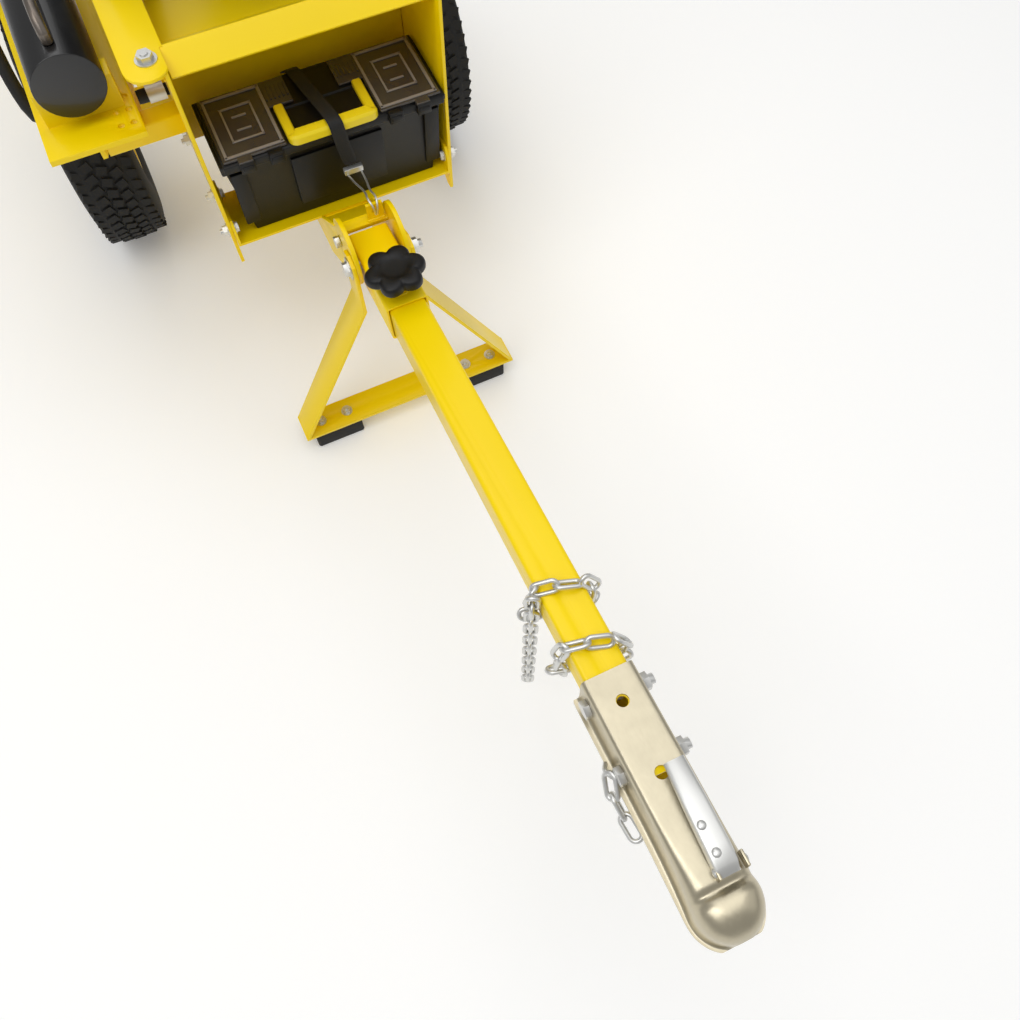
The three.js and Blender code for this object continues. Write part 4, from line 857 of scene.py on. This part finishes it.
class SPLITTER_OT_toolbox(PieceOperator, bpy.types.Operator):
    """Moulds the toolbox with its panels, organiser lids, clips and carrying handle."""
    bl_idname = "splitter.toolbox"
    bl_label = "Toolbox"

    def make(self, sizes):
        softened("toolbox_body", "plastic", sizes.moulded_edge)
        softened("toolbox_lid", "plastic", sizes.moulded_edge * 0.8)
        mid = BOX_MIDDLE
        details = bmesh.new()
        for side in (-1, 1):
            a, b = sorted((mid + side * 150, mid + side * 128))
            self.panel(details, a, b, 812, 796.4, 338, 444)
        self.panel(details, mid - 66, mid + 66, 809, 799.5, 344, 436)
        moulded("toolbox_panels", details, "plastic", "frame", bevelled(1.6 * MM))
        for word, side in (("left", -1), ("right", 1)):
            self.organiser(word, side)
        self.handle()

    @staticmethod
    def panel(bm, x0, x1, low_y, high_y, z0, z1):
        """A raised panel that follows the box's sloping front."""
        foot = ((x0, 0), (x1, 0), (x1, 6), (x0, 6))
        close_block(bm, [at(x, y + d, z) for z, y in ((z0, low_y), (z1, high_y)) for x, d in foot])

    @staticmethod
    def organiser(word, side):
        """A clear L-shaped lid with raised panels, over its pocket, and its two clips."""
        node = "organizer_lid_" + word
        body = "parts_lid_" + word
        softened(node, "smoke", 1.4 * MM)
        a, b = sorted((BOX_MIDDLE + side * 68, BOX_MIDDLE + side * 148))
        frame_bm = bmesh.new()
        for x0, x1, y0, y1 in (
                (a, b, 794, 798), (a, b, 902, 906), (a, a + 4, 794, 906), (b - 4, b, 794, 906),
                (a + 18, b - 18, 818, 821), (a + 18, b - 18, 879, 882), (a + 18, a + 21, 818, 882),
                (b - 21, b - 18, 818, 882), (a + 30, b - 30, 836, 839), (a + 30, b - 30, 861, 864)):
            add_block(frame_bm, x0, x1, y0, y1, 474, 476.1)
        raised = from_bmesh(node + "_raised", frame_bm, bevelled(0.7 * MM))
        # The raised lines take the paler "lines" finish: a painted highlight on the clear lids.
        piece(node + "_raised_lines", raised, "lines", body)
        start = at(BOX_MIDDLE + side * 35, 885, 474.9)
        set_of_ribs(node + "_strip_ribs", body, "smoke", 6, start, (6 * side, 0, 0), (2.2, 24, 2.0))
        clips = bmesh.new()
        for offset in (84, 124):
            x = BOX_MIDDLE + side * offset
            add_block(clips, x - 10, x + 10, 779.6, 789, 456, 473)
            add_block(clips, x - 8, x + 8, 778, 781, 460, 468)
        moulded(node + "_clips", clips, "plastic", body, bevelled(1.4 * MM))

    @staticmethod
    def handle():
        """A bowed grip with finger ridges between two arms, as one rounded moulding."""
        mid, low, half, bend = BOX_MIDDLE, LID_LOW, 55.5, 5.0
        corner = [(half - bend + bend * math.cos(a), 797 - bend * math.sin(a))
                  for a in (math.pi / 2 * i / 5 for i in range(6))]
        right = [(half, 855), (half, 825)] + corner + [(20, 792)]
        path = [(-x, y) for x, y in right] + right[::-1]
        bm = bmesh.new()
        outline = ((-1, 0.05), (-0.9, 0), (0.9, 0), (1, 0.05), (1, 0.76), (0.72, 1), (-0.72, 1), (-1, 0.76))
        rings = []
        for i, (x, y) in enumerate(path):
            before, after = Vector(path[max(i - 1, 0)]), Vector(path[min(i + 1, len(path) - 1)])
            along = (after - before).normalized()
            out = Vector((along.y, -along.x))
            across = abs(along.x)
            width, high = 6.6 + 2.6 * across, 9.2 + 4.6 * across
            rings.append([at(mid + x + out.x * u * width, y + out.y * u * width, low + v * high)
                          for u, v in outline])
        loft(bm, rings)
        moulded("toolbox_grip", bm, "handle", "frame", bevelled(0.9 * MM, 3), replaced=["toolbox_handle"],
                smooth_angle=40)
        first = at(mid - 33, 792, 484.2)
        set_of_ribs("toolbox_grip_ridges", "frame", "handle", 7, first, (11, 0, 0), (2, 12, 1.0))


class SPLITTER_OT_strap(PieceOperator, bpy.types.Operator):
    """Stretches the rubber strap over the toolbox, with its clip and its wire hook."""
    bl_idname = "splitter.strap"
    bl_label = "Strap and hook"

    def make(self, sizes):
        line = [(948.3, 445.5), (932, 460.5), (917, 474.2), (905, 476.2), (860, 481.5), (806, 488.6),
                (790, 489.6), (782, 486.4), (779.3, 480), (780.6, 455), (782.5, 430), (784.4, 408.8)]
        outline = ((-10, -1.2), (-10, 0.8), (-8.4, 1.4), (8.4, 1.4), (10, 0.8), (10, -1.2))
        bm = bmesh.new()
        rings = []
        for i, (y, z) in enumerate(line):
            before, after = line[max(i - 1, 0)], line[min(i + 1, len(line) - 1)]
            along = Vector((after[0] - before[0], after[1] - before[1])).normalized()
            lean = 7.5 - 0.129 * max(y - 779, 0) + (0.16 * max(470 - z, 0) if y < 796 else 0)
            rings.append([at(lean + x, y + along.y * lift, z - along.x * lift) for x, lift in outline])
        loft(bm, rings)
        moulded("strap_rubber", bm, "rubber", "frame", subdivided(1), replaced=["toolbox_strap"], smooth_angle=40)
        softened("strap_clip", "zinc", 0.8 * MM)
        half = [(8, 783, 395.4), (10.5, 752, 407), (14, 722, 417), (12.6, 708, 419.6),
                (14.6, 697.5, 415), (16.4, 695.4, 406)]
        wire = half + [(18, 696.4, 400.4)] + [(36 - x, y, z) for x, y, z in reversed(half)]
        mesh = tube_mesh("hook_wire", [at(*p) for p in wire], 1.5)
        piece("hook_wire", mesh, "zinc", "frame", ["wire_hook"], 60)


class SPLITTER_OT_fasteners(PieceOperator, bpy.types.Operator):
    """Sets the bolts, washers and nuts of the tray, plates, deck and stand."""
    bl_idname = "splitter.fasteners"
    bl_label = "Fasteners"

    def make(self, sizes):
        plates = []
        for side, way in ((-1, LEFT), (1, RIGHT)):
            plates += [(at(172 * side, y, z), way) for y, z in (
                (816, 338), (886, 338), (936, 400), (960, 400), (1150, 400), (965, 560), (1150, 560))]
        set_of_bolts("plate_bolts", "frame", plates, 13, 6, 9)
        inside = [(at(162.7 * side, y, 338), way) for side, way in ((-1, RIGHT), (1, LEFT)) for y in (816, 886)]
        set_of_bolts("tray_bolt_heads", "frame", inside, 12, 4, 1)
        corners = [(at(184 * side, y, 620), UP) for y in (822, 1100) for side in (-1, 1)]
        set_of_bolts("deck_bolts", "frame", corners, 17, 7, 3)
        feet = [(at(x, FOLD_BOLT[1], 42), UP) for x in (-154, -108, 108, 154)]
        set_of_bolts("foot_bolts", "stand", feet, 12, 6, 9)
        for node in ("pivot_bolt", "fold_lock_bolt", "coupler_bolt_front", "coupler_bolt_rear"):
            softened(node, "zinc", 0.7 * MM)
        washers = [(at(44.8, *FOLD_BOLT[1:]), RIGHT), (at(-44.8, *FOLD_BOLT[1:]), LEFT)]
        set_of_bolts("pivot_washers", "frame", washers, 20, 1.2, 0.5)


class SPLITTER_OT_engine(PieceOperator, bpy.types.Operator):
    """Finishes the engine, its tank, its covers and the pump."""
    bl_idname = "splitter.engine"
    bl_label = "Engine and pump"

    FINISHES = {"engine_block": "cast", "crankshaft": "steel", "engine_shroud": "plastic",
                "recoil_handle": "plastic", "fuel_tank": "enamel", "fuel_cap": "plastic", "pump_bell": "cast",
                "drive_coupling": "steel", "hydraulic_pump": "cast", "muffler": "steel", "air_cleaner": "plastic",
                "return_filter": "enamel", "tank_cap": "plastic"}
    ROUNDED = {"fuel_tank": 4.0, "air_cleaner": 6.0, "engine_block": 3.0, "engine_shroud": 3.0, "muffler": 5.0}

    def make(self, sizes):
        for node, finish in self.FINISHES.items():
            softened(node, finish, self.ROUNDED.get(node, 1.0) * MM)
        set_of_ribs("air_cleaner_louvres", "frame", "plastic", 7, at(-18, 888, 696), (0, 0, 8.5), (90, 3.4, 3))
        set_of_ribs("muffler_guard", "frame", "steel", 8, at(5, 1227, 672), (0, 0, 9), (120, 3, 3.2))
        set_of_ribs("filter_grooves", "frame", "enamel", 5, at(40, 1205, 490), (0, 14, 0), (70, 2.4, 70))
        bolts = [(at(x, y, 722), UP) for x in (-60, 70) for y in (962, 1080)]
        y, z = SHAFT_LINE
        bolts += [(at(-128.3, y + 38 * math.cos(a), z + 38 * math.sin(a)), LEFT)
                  for a in (math.tau * (i + 0.5) / 4 for i in range(4))]
        bolts += [(at(150.1, y + 68 * math.cos(a), z + 68 * math.sin(a)), RIGHT)
                  for a in (math.tau * i / 6 for i in range(6))]
        bolts += [(at(-200, y + dy, z + dz), LEFT) for dy in (-28, 28) for dz in (-34, 34)]
        set_of_bolts("engine_bolts", "frame", bolts, 10, 5, 1)


class SPLITTER_OT_hydraulics(PieceOperator, bpy.types.Operator):
    """Finishes the ram, the wedge, the valve, its lever and the hoses."""
    bl_idname = "splitter.hydraulics"
    bl_label = "Ram and hydraulics"

    FINISHES = {"cylinder_barrel": "enamel", "ram_pusher": "enamel", "wedge": "steel",
                "control_valve": "cast", "cylinder_pipe": "steel"}

    def make(self, sizes):
        for node, finish in self.FINISHES.items():
            softened(node, finish, 1.2 * MM)
        softened("piston_rod", "chrome", 0.8 * MM)
        softened("valve_lever", "plastic", 0.6 * MM)
        for node in ("pressure_hose", "return_hose"):
            softened(node, "rubber", 0.3 * MM, 60)
        ends = [(at(BEAM_MIDDLE + 52.3, 1255, 665), Vector(RIGHT)),
                (at(BEAM_MIDDLE - 52.3, 1205, 665), Vector(LEFT)), (at(-172.6, 1045, 401), Vector(LEFT))]
        for i, (start, way) in enumerate(ends):
            line = [start + way * 4 * MM, start + way * 30 * MM]
            crimp = tube_mesh(f"hose_crimp_{i}", line, 12.5, 24, smooth=False)
            piece(f"hose_crimp_{i}", crimp, "zinc", "frame")
        bolts = [(at(BEAM_MIDDLE + dx, y, 693.3), UP) for dx in (-26, 26) for y in (1192, 1308)]
        set_of_bolts("valve_bolts", "frame", bolts, 10, 5, 1)
        feet = [(at(BEAM_MIDDLE + dx, y, 547), UP) for dx in (-42, 42) for y in (2003, 2050)]
        set_of_bolts("wedge_bolts", "frame", feet, 17, 8, 6)


OPERATORS = (SPLITTER_OT_stage, SPLITTER_OT_painted_steel, SPLITTER_OT_stand_feet, SPLITTER_OT_coupler,
             SPLITTER_OT_latch, SPLITTER_OT_chain, SPLITTER_OT_knob, SPLITTER_OT_wheels, SPLITTER_OT_toolbox,
             SPLITTER_OT_strap, SPLITTER_OT_fasteners, SPLITTER_OT_engine, SPLITTER_OT_hydraulics)


class SPLITTER_PT_panel(bpy.types.Panel):
    """Lists the sizes, the colours and every piece's operator."""
    bl_idname = "SPLITTER_PT_panel"
    bl_label = "Log Splitter"
    bl_space_type = "VIEW_3D"
    bl_region_type = "UI"
    bl_category = "Log Splitter"

    def draw(self, context):
        for group in (context.scene.splitter_sizes, context.scene.splitter_colours):
            box = self.layout.box()
            for name in group.bl_rna.properties.keys():
                if name not in {"rna_type", "name"}:
                    box.prop(group, name)
        for operator in OPERATORS:
            self.layout.operator(operator.bl_idname)


CLASSES = (SplitterSizes, SplitterColours, *OPERATORS, SPLITTER_PT_panel)


def register():
    for kind in CLASSES:
        bpy.utils.register_class(kind)
    bpy.types.Scene.splitter_sizes = PointerProperty(type=SplitterSizes)
    bpy.types.Scene.splitter_colours = PointerProperty(type=SplitterColours)


def unregister():
    del bpy.types.Scene.splitter_colours
    del bpy.types.Scene.splitter_sizes
    for kind in reversed(CLASSES):
        bpy.utils.unregister_class(kind)


def main():
    register()
    for operator in OPERATORS:
        group, name = operator.bl_idname.split(".")
        getattr(getattr(bpy.ops, group), name)()


if __name__ == "__main__":
    main()
